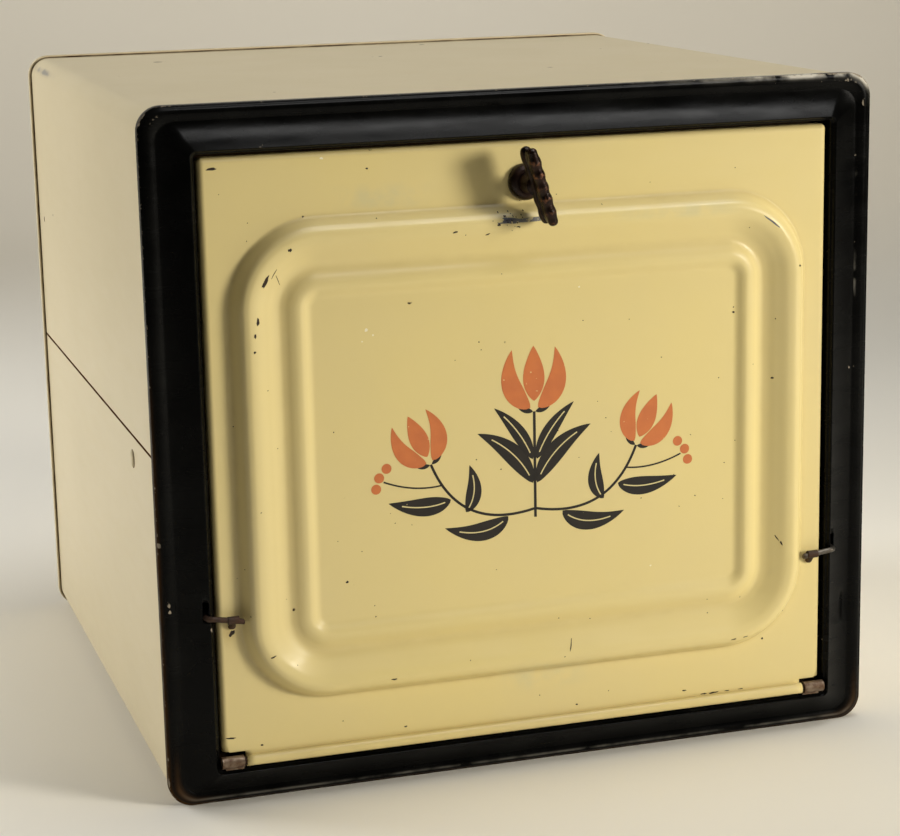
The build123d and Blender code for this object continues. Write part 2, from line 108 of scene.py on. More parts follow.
def bell(at: np.ndarray, centre: float, width: float, power: int = 2) -> np.ndarray:
    """The bell exp(-((at - centre) / width)^power): 1 at its centre, flatter with a higher power."""
    return np.exp(-(((at - centre) / width) ** power))


def round_end(distance: np.ndarray, reach: float) -> np.ndarray:
    """Share of a rod's radius at a distance from its end: a quarter circle over the reach, then 1."""
    return np.sqrt(np.clip(1 - np.clip(1 - distance / reach, 0, 1) ** 2, 0, 1))


def smooth_curve(knots: np.ndarray, values: np.ndarray, at: np.ndarray) -> np.ndarray:
    """Cubic through the knots: each span is a Hermite cubic whose end slopes are the harmonic mean of the
    neighbouring chords, and level where the chords change sign, so that it never overshoots.

    Args:
        knots: rising positions.
        values: the value at each knot.
        at: positions to read.

    Returns:
        The values at those positions.
    """
    span = np.diff(knots)
    chord = np.diff(values) / span
    product = chord[:-1] * chord[1:]
    total = np.where(product > 0, chord[:-1] + chord[1:], 1.0)
    inner = np.where(product > 0, 2 * product / total, 0.0)
    slope = np.concatenate([chord[:1], inner, chord[-1:]])
    cell = np.clip(np.searchsorted(knots, at) - 1, 0, len(span) - 1)
    width, t = span[cell], np.clip((at - knots[cell]) / span[cell], 0, 1)
    ends = (2 * t**3 - 3 * t**2 + 1) * values[cell] + (3 * t**2 - 2 * t**3) * values[cell + 1]
    return ends + width * ((t**3 - 2 * t**2 + t) * slope[cell] + (t**3 - t**2) * slope[cell + 1])


def ripple(x: np.ndarray, z: np.ndarray, size: float, seed: int, waves: int = 6) -> np.ndarray:
    """Slow unevenness of hand-pressed sheet: the mean of plane cosine waves of about the given length.

    Args:
        x: first coordinate, in millimetres.
        z: second coordinate, in millimetres.
        size: wave length, in millimetres.
        seed: seed of the waves' directions and phases.
        waves: how many waves.

    Returns:
        A value between about -1 and 1 at each point.
    """
    draw = np.random.default_rng(seed)
    angle, phase = draw.uniform(0, 2 * np.pi, waves), draw.uniform(0, 2 * np.pi, waves)
    number = 2 * np.pi / (size * draw.uniform(0.7, 1.5, waves))
    along = x[..., None] * np.cos(angle) + z[..., None] * np.sin(angle)
    return np.cos(number * along + phase).mean(-1)


@dataclass
class Patch:
    """A sheet of points with its faces and, for each point, its wear, its dirt with painted shade in places,
    and its chalkiness with painted highlight in places.
    """

    points: np.ndarray
    faces: np.ndarray
    looks: np.ndarray

    @classmethod
    def grid(
        cls,
        points: np.ndarray,
        wear: np.ndarray | float = 0.0,
        soil: np.ndarray | float = 0.0,
        bloom_and_highlight: np.ndarray | float = 0.0,
        closed: bool = False,
        keep: np.ndarray | None = None,
    ) -> "Patch":
        """Quads between neighbouring points of a (rows, columns, 3) array.

        Args:
            points: the points, in millimetres.
            wear: how worn each point is, from 0.
            soil: how soiled each point is, with painted shade in places, from 0.
            bloom_and_highlight: how chalky with age each point is, with painted highlight in places, from 0.
            closed: whether the last column joins the first.
            keep: which quads to keep, as (rows - 1, columns or columns - 1).

        Returns:
            The patch.
        """
        shape = points.shape[:2]
        index = np.arange(points[..., 0].size).reshape(shape)
        right = np.roll(index, -1, axis=1)
        quads = np.stack([index[:-1], right[:-1], right[1:], index[1:]], axis=-1)
        quads = quads if closed else quads[:, :-1]
        quads = quads.reshape(-1, 4) if keep is None else quads[keep]
        looks = columns(np.zeros(shape), wear, soil, bloom_and_highlight)[..., 1:]
        return cls(points.reshape(-1, 3), quads, looks.reshape(-1, 3))

    @staticmethod
    def joined(patches: list["Patch"]) -> "Patch":
        """Several patches as one, in order.

        Args:
            patches: the patches.

        Returns:
            One patch with all their points and faces.
        """
        starts = np.cumsum([0] + [len(p.points) for p in patches[:-1]])
        return Patch(
            np.concatenate([p.points for p in patches]),
            np.concatenate([p.faces + start for p, start in zip(patches, starts)]),
            np.concatenate([p.looks for p in patches]),
        )


def make_piece(
    name: str,
    patch: Patch,
    material: bpy.types.Material,
    body: str,
    thickness: float = 0.0,
    outward: Triple | None = None,
    shading: Shading = Shading.CREASED,
    stands_for: tuple[str, ...] = (),
) -> None:
    """Puts a patch into a mesh object at the origin, welds it, thickens it and ties it to its body.

    Args:
        name: the piece's name.
        patch: its points and faces, in millimetres.
        material: its finish.
        body: the CAD body that it rides on.
        thickness: thickness of the sheet behind the surface, in millimetres, 0 for a closed form.
        outward: direction that the surface faces at its first face, where it is an open sheet.
        shading: how its normals run.
        stands_for: CAD nodes that it replaces.
    """
    mesh = bpy.data.meshes.new(name)
    mesh.from_pydata((patch.points * MM).tolist(), [], patch.faces.tolist())
    for label, values in zip(("wear", "soil", "bloom_and_highlight"), patch.looks.T):
        layer = mesh.attributes.new(label, "FLOAT", "POINT")
        layer.data.foreach_set("value", values.astype(np.float32))
    shape = bmesh.new()
    shape.from_mesh(mesh)
    bmesh.ops.remove_doubles(shape, verts=shape.verts, dist=WELD)
    bmesh.ops.recalc_face_normals(shape, faces=shape.faces)
    shape.faces.ensure_lookup_table()
    if outward is not None and shape.faces[0].normal.dot(outward) < 0:
        bmesh.ops.reverse_faces(shape, faces=shape.faces)
    shape.to_mesh(mesh)
    shape.free()
    mesh.shade_smooth()
    if shading is Shading.CREASED:
        mesh.set_sharp_from_angle(angle=math.radians(shading.value))
    piece = bpy.data.objects.new(name, mesh)
    bpy.context.scene.collection.objects.link(piece)
    mesh.materials.append(material)
    if thickness:
        wall = piece.modifiers.new("sheet", "SOLIDIFY")
        wall.thickness = thickness * MM
        wall.offset = -1
        wall.use_even_offset = False
    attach(piece, body)
    if stands_for:
        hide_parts(*stands_for)
    LOG.info("%s: %d faces", name, len(mesh.polygons))


@dataclass(frozen=True)
class Sampling:
    """How finely a rounded rectangle is sampled: marks along each side, as shares, and points in a corner."""

    across: tuple[float, ...]
    upright: tuple[float, ...]
    corner: int = 12

    @classmethod
    def even(
        cls, across: int, upright: int, corner: int, extra: tuple[list[float], list[float]] = ([], [])
    ) -> "Sampling":
        """Evenly spaced marks, with some extra ones across and up.

        Args:
            across: how many marks on the level sides.
            upright: how many on the upright sides.
            corner: points in a corner.
            extra: shares to add to the level sides and to the upright ones.

        Returns:
            The sampling.
        """
        regular = (np.linspace(0, 1, count).round(6).tolist() for count in (across, upright))
        return cls(*(tuple(sorted({*marks, *more})) for marks, more in zip(regular, extra)), corner)

    def ring(self, half: float, low: float, high: float, radius: float) -> np.ndarray:
        """A rounded rectangle walked from its lower right corner: up the right side, over the top from right
        to left, down the left side and back along the bottom. Each corner is a quarter circle of the radius.

        Args:
            half: half of its width.
            low: its lower edge.
            high: its upper edge.
            radius: its corner radius.

        Returns:
            An (n, 2) array of places across and up.
        """
        r = max(min(radius, half, (high - low) / 2), 0.0)
        rise = low + r + np.array(self.upright) * (high - low - 2 * r)
        run = (2 * np.array(self.across) - 1) * (half - r)
        quarter = np.linspace(0, np.pi / 2, self.corner + 2)[1:-1]
        sides = (columns(half, rise), columns(run[::-1], high), columns(-half, rise[::-1]), columns(run, low))
        centres = ((half - r, high - r), (r - half, high - r), (r - half, low + r), (half - r, low + r))
        parts = []
        for turn, (side, centre) in enumerate(zip(sides, centres)):
            angle = turn * np.pi / 2 + quarter
            parts += [side, centre + r * columns(np.cos(angle), np.sin(angle))]
        return np.concatenate(parts)


def stack_rings(rings: list[np.ndarray], depths: np.ndarray) -> np.ndarray:
    """Rings as one (rows, columns, 3) array, each at its own depth along Y."""
    flat = np.stack(rings)
    return columns(flat[..., 0], depths[:, None], flat[..., 1])


def turned(profile: np.ndarray, centre: Triple, axis: str, count: int = 48) -> np.ndarray:
    """A profile of (radius, distance along the axis) carried round the axis in a full turn.

    Args:
        profile: (n, 2) array.
        centre: a point on the axis where the distance is 0.
        axis: "y" to turn about the forward direction -Y, "x" to turn about +X, "-x" about -X.
        count: points in a turn.

    Returns:
        An (n, count, 3) array of points.
    """
    turn = np.linspace(0, 2 * np.pi, count, endpoint=False)
    first, second, along = profile[:, :1] * np.cos(turn), profile[:, :1] * np.sin(turn), profile[:, 1:]
    order = {"y": (first, -along, second), "x": (along, first, second), "-x": (-along, first, second)}
    return columns(*order[axis]) + np.array(centre)


def tube(
    path: np.ndarray, normal: np.ndarray, radius: np.ndarray | float, count: int = 16, stretch: float = 1.0
) -> np.ndarray:
    """An oval carried along a plane path: path + radius (cos a (normal x tangent) + stretch sin a normal).

    Args:
        path: (n, 3) points of the centre line, all in one plane.
        normal: unit normal of that plane.
        radius: radius of the tube, one for all or one for each point.
        count: points round the tube.
        stretch: how much deeper the oval is along the normal than across it.

    Returns:
        An (n, count, 3) array of points.
    """
    tangent = np.gradient(path, axis=0)
    tangent /= np.linalg.norm(tangent, axis=1, keepdims=True)
    side = np.cross(normal, tangent)
    angle = np.linspace(0, 2 * np.pi, count, endpoint=False)[None, :, None]
    reach = np.broadcast_to(np.asarray(radius, float), (len(path),))[:, None, None]
    return path[:, None] + reach * (np.cos(angle) * side[:, None] + stretch * np.sin(angle) * normal)


# Finishes


def add_node(
    tree: bpy.types.NodeTree, kind: str, inputs: dict | None = None, **settings: object
) -> bpy.types.Node:
    """Adds a shader node, sets its properties, and sets or links its inputs.

    Args:
        tree: the material's node tree.
        kind: the node's type without its leading "ShaderNode".
        inputs: input name or number to a value, or to a socket to link.
        settings: properties of the node.

    Returns:
        The node.
    """
    node = tree.nodes.new("ShaderNode" + kind)
    for key, value in settings.items():
        setattr(node, key, value)
    for key, value in (inputs or {}).items():
        if isinstance(value, bpy.types.NodeSocket):
            tree.links.new(value, node.inputs[key])
        else:
            node.inputs[key].default_value = value
    return node


def new_material(name: str) -> tuple[bpy.types.Material, bpy.types.NodeTree, bpy.types.NodeSocket]:
    """Makes an empty node material.

    Args:
        name: the material's name.

    Returns:
        The material, its tree and the socket that gives each point's place on its object.
    """
    material = bpy.data.materials.new(name)
    material.use_nodes = True
    material.node_tree.nodes.clear()
    return material, material.node_tree, add_node(material.node_tree, "TexCoord").outputs["Object"]


def per_metre(size_mm: float) -> float:
    """Texture scale that gives a feature of that size in millimetres."""
    return 1 / (size_mm * MM)


def mottle(
    tree: bpy.types.NodeTree,
    place: bpy.types.NodeSocket,
    size_mm: float,
    cut: Pair = (0.0, 1.0),
    span: Pair = (0.0, 1.0),
    detail: float = 5.0,
    fine: float = 0.5,
) -> bpy.types.NodeSocket:
    """Patches of about one size: cloudy noise, cut between two of its levels and spread over a span.

    Args:
        tree: the material's node tree.
        place: where to read the noise.
        size_mm: size of a patch, in millimetres.
        cut: the noise levels that give the ends of the span.
        span: the values at those levels.
        detail: octaves of the noise.
        fine: weight of each finer octave.

    Returns:
        The socket with the value.
    """
    scale = per_metre(size_mm)
    cloud = add_node(tree, "TexNoise", {"Vector": place, "Scale": scale, "Detail": detail, "Roughness": fine})
    levels = {"From Min": cut[0], "From Max": cut[1], "To Min": span[0], "To Max": span[1]}
    return add_node(tree, "MapRange", {"Value": cloud.outputs["Fac"], **levels}).outputs["Result"]


def close_tree(tree: bpy.types.NodeTree, height: bpy.types.NodeSocket, bump: Pair, inputs: dict) -> None:
    """Ends a material: its bump, its shader and its output.

    Args:
        tree: the material's node tree.
        height: the height of its relief.
        bump: strength of the bump, and its depth in millimetres.
        inputs: what goes into the shader besides.
    """
    relief = add_node(tree, "Bump", {"Height": height, "Strength": bump[0], "Distance": bump[1] * MM})
    shader = add_node(tree, "BsdfPrincipled", {"Normal": relief.outputs["Normal"], **inputs})
    add_node(tree, "OutputMaterial", {"Surface": shader.outputs["BSDF"]})


@dataclass(frozen=True)
class Enamel:
    """Stoved enamel on sheet steel, sprayed and baked: a hard even film with a faint orange peel, soiled in
    its corners, chalky with age in places and rubbed through on its edges. Its dirt layer also carries
    painted shade in some gaps, and its chalky layer painted highlights on some rims."""

    name: str
    colour: str
    faded: str
    soil: str
    rust: str
    roughness: float
    chalk_and_highlight: str = "#cdc395"
    fade_mm: float = 90.0
    peel_mm: float = 1.6
    chip_mm: float = 5.0
    speck_mm: float = 9.0
    chalk_and_highlight_mm: float = 11.0
    soil_and_shade_mm: float = 14.0
    streak_mm: float = 30.0
    speck_level: float = 0.78
    scuff: float = 0.10
    gloss: float = 0.5
    bare_roughness: float = 0.75

    def make(self) -> bpy.types.Material:
        """Builds the enamel's material: a faded film, then its chalky layer with the painted highlights, then
        its dirt layer with the painted shade, then flecks where the film is rubbed through to the metal.

        Returns:
            The material.
        """
        material, tree, place = new_material(self.name)
        fade = mottle(tree, place, self.fade_mm, (0.35, 0.75), detail=4.0)
        layers = {"Factor": fade, 6: linear(self.colour), 7: linear(self.faded)}
        film = add_node(tree, "Mix", layers, data_type="RGBA").outputs[2]
        coats = {
            "bloom_and_highlight": (self.chalk_and_highlight, mottle(tree, place, self.chalk_and_highlight_mm, (0.35, 0.6))),
            "soil": (self.soil, mottle(tree, place, self.soil_and_shade_mm, (0.3, 0.7), (0.45, 1.0), detail=6.0)),
        }
        masks = {}
        for label, (tint, share) in coats.items():
            amount = add_node(tree, "Attribute", attribute_name=label).outputs["Fac"]
            masks[label] = add_node(tree, "Math", {0: amount, 1: share}, operation="MULTIPLY").outputs[0]
            layers = {"Factor": masks[label], 6: film, 7: linear(tint)}
            film = add_node(tree, "Mix", layers, data_type="RGBA").outputs[2]
        worn = add_node(tree, "Attribute", attribute_name="wear").outputs["Fac"]
        flake = mottle(tree, place, self.chip_mm, fine=0.65)
        edge = add_node(tree, "Math", {0: worn, 1: flake}, operation="ADD").outputs[0]
        levels = {"Value": edge, "From Min": 1.0, "From Max": 1.08}
        rubbed = add_node(tree, "MapRange", levels).outputs["Result"]
        speck = mottle(tree, place, self.speck_mm, (self.speck_level, self.speck_level + 0.015), detail=2.0)
        chip = add_node(tree, "Math", {0: rubbed, 1: speck}, operation="MAXIMUM").outputs[0]
        layers = {"Factor": chip, 6: film, 7: linear(self.rust)}
        colour = add_node(tree, "Mix", layers, data_type="RGBA").outputs[2]
        slanted = {"Vector": place, "Rotation": (0.3, 0.5, 0.2), "Scale": (1, 1, 5)}
        streak = add_node(tree, "Mapping", slanted).outputs[0]
        sheen = (self.roughness - self.scuff * 0.5, self.roughness + self.scuff)
        rub = mottle(tree, streak, self.streak_mm, (0.35, 0.75), sheen)
        dull = add_node(tree, "Math", {0: masks["soil"], 1: chip}, operation="MAXIMUM").outputs[0]
        rough = add_node(tree, "Mix", {"Factor": dull, 2: rub, 3: self.bare_roughness}, data_type="FLOAT")
        shine = add_node(tree, "MapRange", {"Value": dull, "To Min": self.gloss, "To Max": 0.0})
        peel = mottle(tree, place, self.peel_mm, span=(0.0, 0.25), detail=2.0)
        height = add_node(tree, "Math", {0: chip, 1: -0.8, 2: peel}, operation="MULTIPLY_ADD").outputs[0]
        surface = {"Roughness": rough.outputs[0], "Specular IOR Level": shine.outputs["Result"]}
        close_tree(tree, height, (0.35, 0.12), {"Base Color": colour, **surface})
        return material


@dataclass(frozen=True)
class RustedSteel:
    """Bare steel left to rust: brown oxide in patches over darker, smoother metal, with a pitted grain."""

    name: str
    dark: str
    brown: str
    bright: str
    metallic: float = 0.35
    roughness: float = 0.55
    patch_mm: float = 4.0
    polish_mm: float = 1.5
    # Real pits are finer than the picture can show, so they are drawn coarser
    pit_mm: float = 0.7

    def make(self) -> bpy.types.Material:
        """Builds the metal's material: oxide over dark metal, then brightness where it is rubbed.

        Returns:
            The material.
        """
        material, tree, place = new_material(self.name)
        oxide = mottle(tree, place, self.patch_mm, (0.38, 0.62), detail=6.0, fine=0.6)
        layers = {"Factor": oxide, 6: linear(self.dark), 7: linear(self.brown)}
        base = add_node(tree, "Mix", layers, data_type="RGBA").outputs[2]
        worn = add_node(tree, "Attribute", attribute_name="wear").outputs["Fac"]
        grain = mottle(tree, place, self.polish_mm, detail=3.0)
        handled = add_node(tree, "Math", {0: worn, 1: grain}, operation="ADD").outputs[0]
        levels = {"Value": handled, "From Min": 0.95, "From Max": 1.3}
        polish = add_node(tree, "MapRange", levels).outputs["Result"]
        layers = {"Factor": polish, 6: base, 7: linear(self.bright)}
        colour = add_node(tree, "Mix", layers, data_type="RGBA").outputs[2]
        sheen = (self.roughness - 0.15, self.roughness + 0.2)
        rough = mottle(tree, place, self.patch_mm, (0.3, 0.7), sheen, detail=6.0, fine=0.6)
        pits = mottle(tree, place, self.pit_mm, detail=4.0)
        surface = {"Base Color": colour, "Metallic": self.metallic, "Roughness": rough}
        close_tree(tree, pits, (0.6, 0.2), surface)
        return material


@dataclass(frozen=True)
class PrintInk:
    """Transfer-printed ink under varnish: one flat colour, a little uneven, with pinholes where it has lifted
    and the enamel shows."""

    name: str
    ink: str
    thin: str
    ground: str
    roughness: float = 0.38
    lay_mm: float = 7.0
    peel_mm: float = 1.6
    hole_mm: float = 2.2
    hole_level: float = 0.72

    def make(self) -> bpy.types.Material:
        """Builds the ink's material: thick and thin ink, then pinholes.

        Returns:
            The material.
        """
        material, tree, place = new_material(self.name)
        lay = mottle(tree, place, self.lay_mm, (0.35, 0.7))
        layers = {"Factor": lay, 6: linear(self.ink), 7: linear(self.thin)}
        base = add_node(tree, "Mix", layers, data_type="RGBA").outputs[2]
        hole = mottle(tree, place, self.hole_mm, (self.hole_level, self.hole_level + 0.03), detail=3.0)
        layers = {"Factor": hole, 6: base, 7: linear(self.ground)}
        colour = add_node(tree, "Mix", layers, data_type="RGBA").outputs[2]
        rough = mottle(tree, place, self.lay_mm, (0.3, 0.7), (self.roughness - 0.06, self.roughness + 0.1))
        peel = mottle(tree, place, self.peel_mm, detail=2.0)
        close_tree(tree, peel, (0.12, 0.12), {"Base Color": colour, "Roughness": rough, "IOR": 1.5})
        return material


@dataclass(frozen=True)
class FinishSet:
    """The finishes of the bread box."""

    # Sprayed and baked black: deep and even, grey where dust and hands have dulled it, pale at rubbed rims,
    # with pale painted highlights along some rims in its chalky layer
    frame_black: Enamel = Enamel(
        "black stoved enamel", "#030303", "#0d0d0c", "#4f361c", "#8d8374", 0.24, chalk_and_highlight="#c0bbae",
        chip_mm=3.0, fade_mm=22.0, speck_level=0.755, scuff=0.12, gloss=0.08,
    )
    # The same film in pale cream: a soft sheen, with brown dirt in the seams; its brown at the back fold and
    # round the rivets is dirt with painted shade
    body_cream: Enamel = Enamel(
        "pale cream stoved enamel", "#dacca9", "#d5c7a3", "#4a2a12", "#4a3323", 0.38,
        chalk_and_highlight="#98938a", scuff=0.03,
    )
    # A yellower cream with more gloss, greenish white where it has been scrubbed thin
    door_yellow: Enamel = Enamel(
        "cream-yellow stoved enamel", "#dcca8b", "#d8c78f", "#8a6d3a", "#3f2d20", 0.34
    )
    # Drawn wire gone brown all over: dull, with a little metal where it rubs
    rusty_steel: RustedSteel = RustedSteel("rusted drawn steel", "#2a1c13", "#4a3222", "#7d6a55")
    # Rolled sheet with brown flecks: a greyish, half-bright metal
    strap_steel: RustedSteel = RustedSteel(
        "rust-flecked sheet steel", "#7b6a58", "#5a4230", "#a99b88",
        metallic=0.45, roughness=0.45, patch_mm=3.0,
    )
    # Cast and handled for years: almost black, with warm brown lights on its lumps
    knob_brown: RustedSteel = RustedSteel(
        "tarnished cast knob metal", "#140904", "#2b160b", "#86583a",
        metallic=0.55, roughness=0.32, patch_mm=6.0,
    )
    # Dipped in tin and gone dull: a cloudy grey with broad patches
    tinned: RustedSteel = RustedSteel(
        "dull tinned sheet", "#8d8a82", "#7b766a", "#a9a69e",
        metallic=0.8, roughness=0.42, patch_mm=35.0, pit_mm=2.0,
    )
    # Turned and cut steel indoors: grey metal with small brown stains
    steel: RustedSteel = RustedSteel(
        "dulled plain steel", "#6f6b64", "#4b3f33", "#8f8b84", metallic=0.85, roughness=0.42, patch_mm=5.0
    )
    # Sheet laid bare by a knock: a matt, near-black fleck
    chipped: RustedSteel = RustedSteel(
        "dark steel in enamel chips", "#1d1510", "#35261b", "#5c4a3a",
        metallic=0.2, roughness=0.6, patch_mm=2.0,
    )
    # Inks laid from a transfer: flat colour that thins to the enamel in pinholes
    orange_ink: PrintInk = PrintInk("orange transfer ink", "#c9743f", "#c06c3c", "#d8c78f")
    black_ink: PrintInk = PrintInk("black transfer ink", "#17130f", "#211b15", "#cdb983", hole_level=0.76)
    cream_ink: PrintInk = PrintInk("cream transfer ink", "#d6c892", "#d0c18b", "#d8c78f")
    # Metal rubbed off on the enamel: a smoky blue-grey smear, broken up by the film under it
    scuffed: PrintInk = PrintInk(
        "blue-grey rub mark", "#55565e", "#85837c", "#cfc08e", roughness=0.45, hole_level=0.6
    )
    # Dried splashes: tiny whitish dots
    spatter: PrintInk = PrintInk("pale spatter", "#efe8cf", "#e9e0c4", "#efe8cf")

    def materials(self) -> Finishes:
        """Builds every finish and gives each by its name."""
        return {finish.name: getattr(self, finish.name).make() for finish in fields(self)}


# Sub-assemblies


@dataclass
class FrontFrame:
    """The black front frame: a pressed ring with a turned-back flange, a round outer bead, a valley, a cove
    that rises to a ridge round the opening, a lip and the door stop."""

    half: float = HALF
    height: float = HEIGHT
    corner: float = CORNER
    side: float = 21.6
    top: float = 19.9
    bottom: float = 15.9
    ridge_corner: float = 2.5
    bead_foot: float = 0.04
    crown_share: float = 0.17
    valley_share: float = 0.34
    bead_rise: float = 1.2
    valley_rise: float = 0.1
    ridge_rise: float = 7.0
    cove_power: float = 1.4
    bevel: float = 1.2
    bevel_drop: float = 1.5
    bevel_power: float = 1.6
    wall_inset: float = 0.8
    stop_depth: float = 3.0
    stop_width: float = 5.0
    slot_outer: float = 17.6
    slot_span: Pair = (86.9, 95.4)
    slot_margin: float = 0.6
    dent_place: Pair = (160.3, 57.0)
    dent_reach: Pair = (2.2, 5.5)
    dent_depth: float = 1.5
    rub_reach: float = 18.0
    rust_reach: float = 15.0
    foot_reach: float = 6.0
    # Reach along and down of the rubbed band at the top right, whose rim also gets a painted highlight
    bare_reach: Pair = (55.0, 6.0)
    # Height at which the rust down the left rim begins, and the length over which it grows
    rim_rust: Pair = (215.0, 70.0)
    # Share of the way in, height over the front plane and wear of the flange and its rounded edge
    edge: tuple[Triple, ...] = (
        (0.0, -4.5, 0.2), (0.0, -3.6, 0.25), (0.0, -2.4, 0.3), (0.0, -1.1, 0.32),
        (0.003, -0.5, 0.38), (0.009, -0.2, 0.42), (0.02, -0.05, 0.38),
    )
    # Share of the way in, height and half length of the pale lines down the right member: scratched lines,
    # partly painted highlights
    scratches_and_highlights: tuple[Triple, ...] = ((0.31, 262.0, 4.0), (0.31, 219.0, 7.5))

    @property
    def ridge_share(self) -> float:
        """Share of the way in at which the ridge stands."""
        return 1 - self.bevel / self.side

    @property
    def slot_share(self) -> float:
        """Share of the way in at which the slots for the stays begin."""
        return self.slot_outer / self.side

    def corner_at(self, share: float) -> float:
        """Corner radius at a share of the way in, from the rim's to the ridge's."""
        return self.corner + share * (self.ridge_corner - self.corner)

    def ring(self, marks: Sampling, share: float, inset: float) -> np.ndarray:
        """The outline at a share of the way to the opening, drawn in further by an inset."""
        return marks.ring(
            self.half - share * self.side - inset,
            share * self.bottom + inset,
            self.height - share * self.top - inset,
            max(self.corner_at(share) - inset, 0.6),
        )

    def front_rise(self, share: np.ndarray) -> np.ndarray:
        """Height of the front face. The bead is a smooth curve through its foot, crown and valley. The cove
        is valley + (ridge - valley) t to the cove power, with t from 0 at the valley to 1 at the ridge.

        Args:
            share: shares of the way in.

        Returns:
            The height over the front plane at each share.
        """
        knots = np.array([self.bead_foot, 0.1, self.crown_share, 0.26, self.valley_share])
        bead = smooth_curve(knots, self.bead_rise * np.array([0.0, 0.75, 1.0, 0.7, 0.08]), share)
        t = np.clip((share - self.valley_share) / (self.ridge_share - self.valley_share), 0, 1)
        cove = self.valley_rise + (self.ridge_rise - self.valley_rise) * t**self.cove_power
        return np.where(share < self.valley_share, bead, cove)

    def profile(self) -> np.ndarray:
        """The section of the ring, from the back of the flange to the inner edge of the stop.

        Returns:
            Four rows: share, inset, height over the front plane and wear at each point of the section.
        """
        ridge, wall, stop = self.ridge_share, self.wall_inset, -self.stop_depth
        share, rise, wear = np.array(self.edge).T
        bead = np.linspace(self.bead_foot, self.valley_share, 15)
        cove = np.linspace(self.valley_share, ridge, 19)[1:]
        front = np.sort(np.concatenate([bead, cove, [self.slot_share]]))
        front_wear = 0.2 + 0.1 * bell(front, self.crown_share, 0.04) + 0.1 * (front > ridge - 0.02)
        t = np.array([0.12, 0.3, 0.5, 0.75, 1.0])
        bevel_rise = self.ridge_rise - self.bevel_drop * t**self.bevel_power
        low = bevel_rise[-1]
        lip_inset = np.array([0.3, 0.6, wall, wall, 1.0, 3.0, wall + self.stop_width])
        lip_rise = np.array([low - 0.15, low - 0.4, low - 0.8, stop + 0.4, stop, stop, stop])
        return np.concatenate([
            columns(share, 0, rise, wear),
            columns(front, 0, self.front_rise(front), front_wear),
            columns(ridge + (1 - ridge) * t, 0, bevel_rise, 0.3 - 0.15 * t),
            columns(1, lip_inset, lip_rise, 0.15),
        ]).T

    def weathering(
        self, points: np.ndarray, share: np.ndarray, inset: np.ndarray, wear: np.ndarray
    ) -> tuple[np.ndarray, np.ndarray, np.ndarray]:
        """Rubbed corners, a rubbed band at the top right with a painted highlight along its rim, rust at the
        feet and the left rim, a pale line along the bottom bead that is wear and painted highlight, and
        scratched lines down the right member that are partly painted highlights.

        Args:
            points: the points of the ring.
            share: share of the way in of each row.
            inset: inset of each row.
            wear: wear of each row.

        Returns:
            The wear, the dirt and the pale marks of each point; the pale marks are partly painted highlights.
        """
        x, up = points[..., 0], points[..., 2]
        across = np.abs(x)
        rim, bead = bell(share, 0, 0.05)[:, None], bell(share, self.crown_share, 0.06)[:, None]
        nearest = np.minimum(up, self.height - up)
        corner_rub = bell(across, self.half, self.rub_reach) * bell(nearest, 0, self.rub_reach)
        # The band at the top right is rubbed paint, and its rim gets a pale painted highlight that grows
        # towards the right end
        rubbed_and_highlit = bell(x, self.half, self.bare_reach[0]) * bell(up, self.height, self.bare_reach[1])
        wear = np.clip(wear[:, None] + 0.1 * corner_rub + 0.14 * rubbed_and_highlit, 0, 0.62)
        foot_rust = bell(across, self.half, self.rust_reach) * bell(up, 0, self.rust_reach)
        foot_rub = bell(up, 0, self.foot_reach)
        left_rust = np.clip((self.rim_rust[0] - up) / self.rim_rust[1], 0, 1) * (x < self.side - self.half)
        soil = np.clip((rim + bead) * foot_rust + rim * (0.6 * left_rust + 0.5 * foot_rub), 0, 1)
        soil = np.where((inset > self.wall_inset)[:, None], 0.25, soil)
        # Pale marks: a painted highlight on the top right rim, and a pale line along the bottom bead's crown
        # that is worn paint and painted highlight
        bloom_and_highlight = 2.2 * bell(share, 0.015, 0.06)[:, None] * rubbed_and_highlit + 0.22 * bead**4 * foot_rub
        # The pale lines down the right member are scratched lines that are partly painted highlights
        for place, height, half_length in self.scratches_and_highlights:
            line = bell(share, place, 0.012)[:, None] * bell(up, height, half_length, 4)
            bloom_and_highlight += 0.7 * line * (x > self.half - self.side)
        return wear, soil, bloom_and_highlight

    def build(self, finishes: Finishes) -> None:
        """Builds the ring, with a small dent at its lower right and a slot on each side for a stay.

        Args:
            finishes: the finishes by name.
        """
        radius = self.corner_at(self.slot_share)
        low = self.slot_share * self.bottom + radius
        length = self.height - self.slot_share * (self.bottom + self.top) - 2 * radius
        marks = Sampling.even(61, 61, 14, ([], [(z - low) / length for z in self.slot_span]))
        share, inset, rise, wear = self.profile()
        points = stack_rings([self.ring(marks, *row) for row in zip(share, inset)], FRONT_Y - rise)
        x, up = points[..., 0], points[..., 2]
        (dent_x, dent_z), (wide, tall) = self.dent_place, self.dent_reach
        points[..., 1] += self.dent_depth * bell(x, dent_x, wide) * bell(up, dent_z, tall)
        row_in = (share > self.slot_share - 0.001) & (share < self.ridge_share + 0.001) & (inset == 0)
        low, high = self.slot_span[0] - self.slot_margin, self.slot_span[1] + self.slot_margin
        inside = row_in[:, None] & (up > low) & (up < high)
        beside = np.roll(inside, -1, axis=1)
        slot = inside[:-1] & inside[1:] & beside[:-1] & beside[1:]
        looks = self.weathering(points, share, inset, wear)
        make_piece(
            "front_frame_pressing", Patch.grid(points, *looks, closed=True, keep=~slot),
            finishes["frame_black"], "cabinet",
            thickness=SHEET, outward=(1, 0, 0), stands_for=("front_frame",),
        )


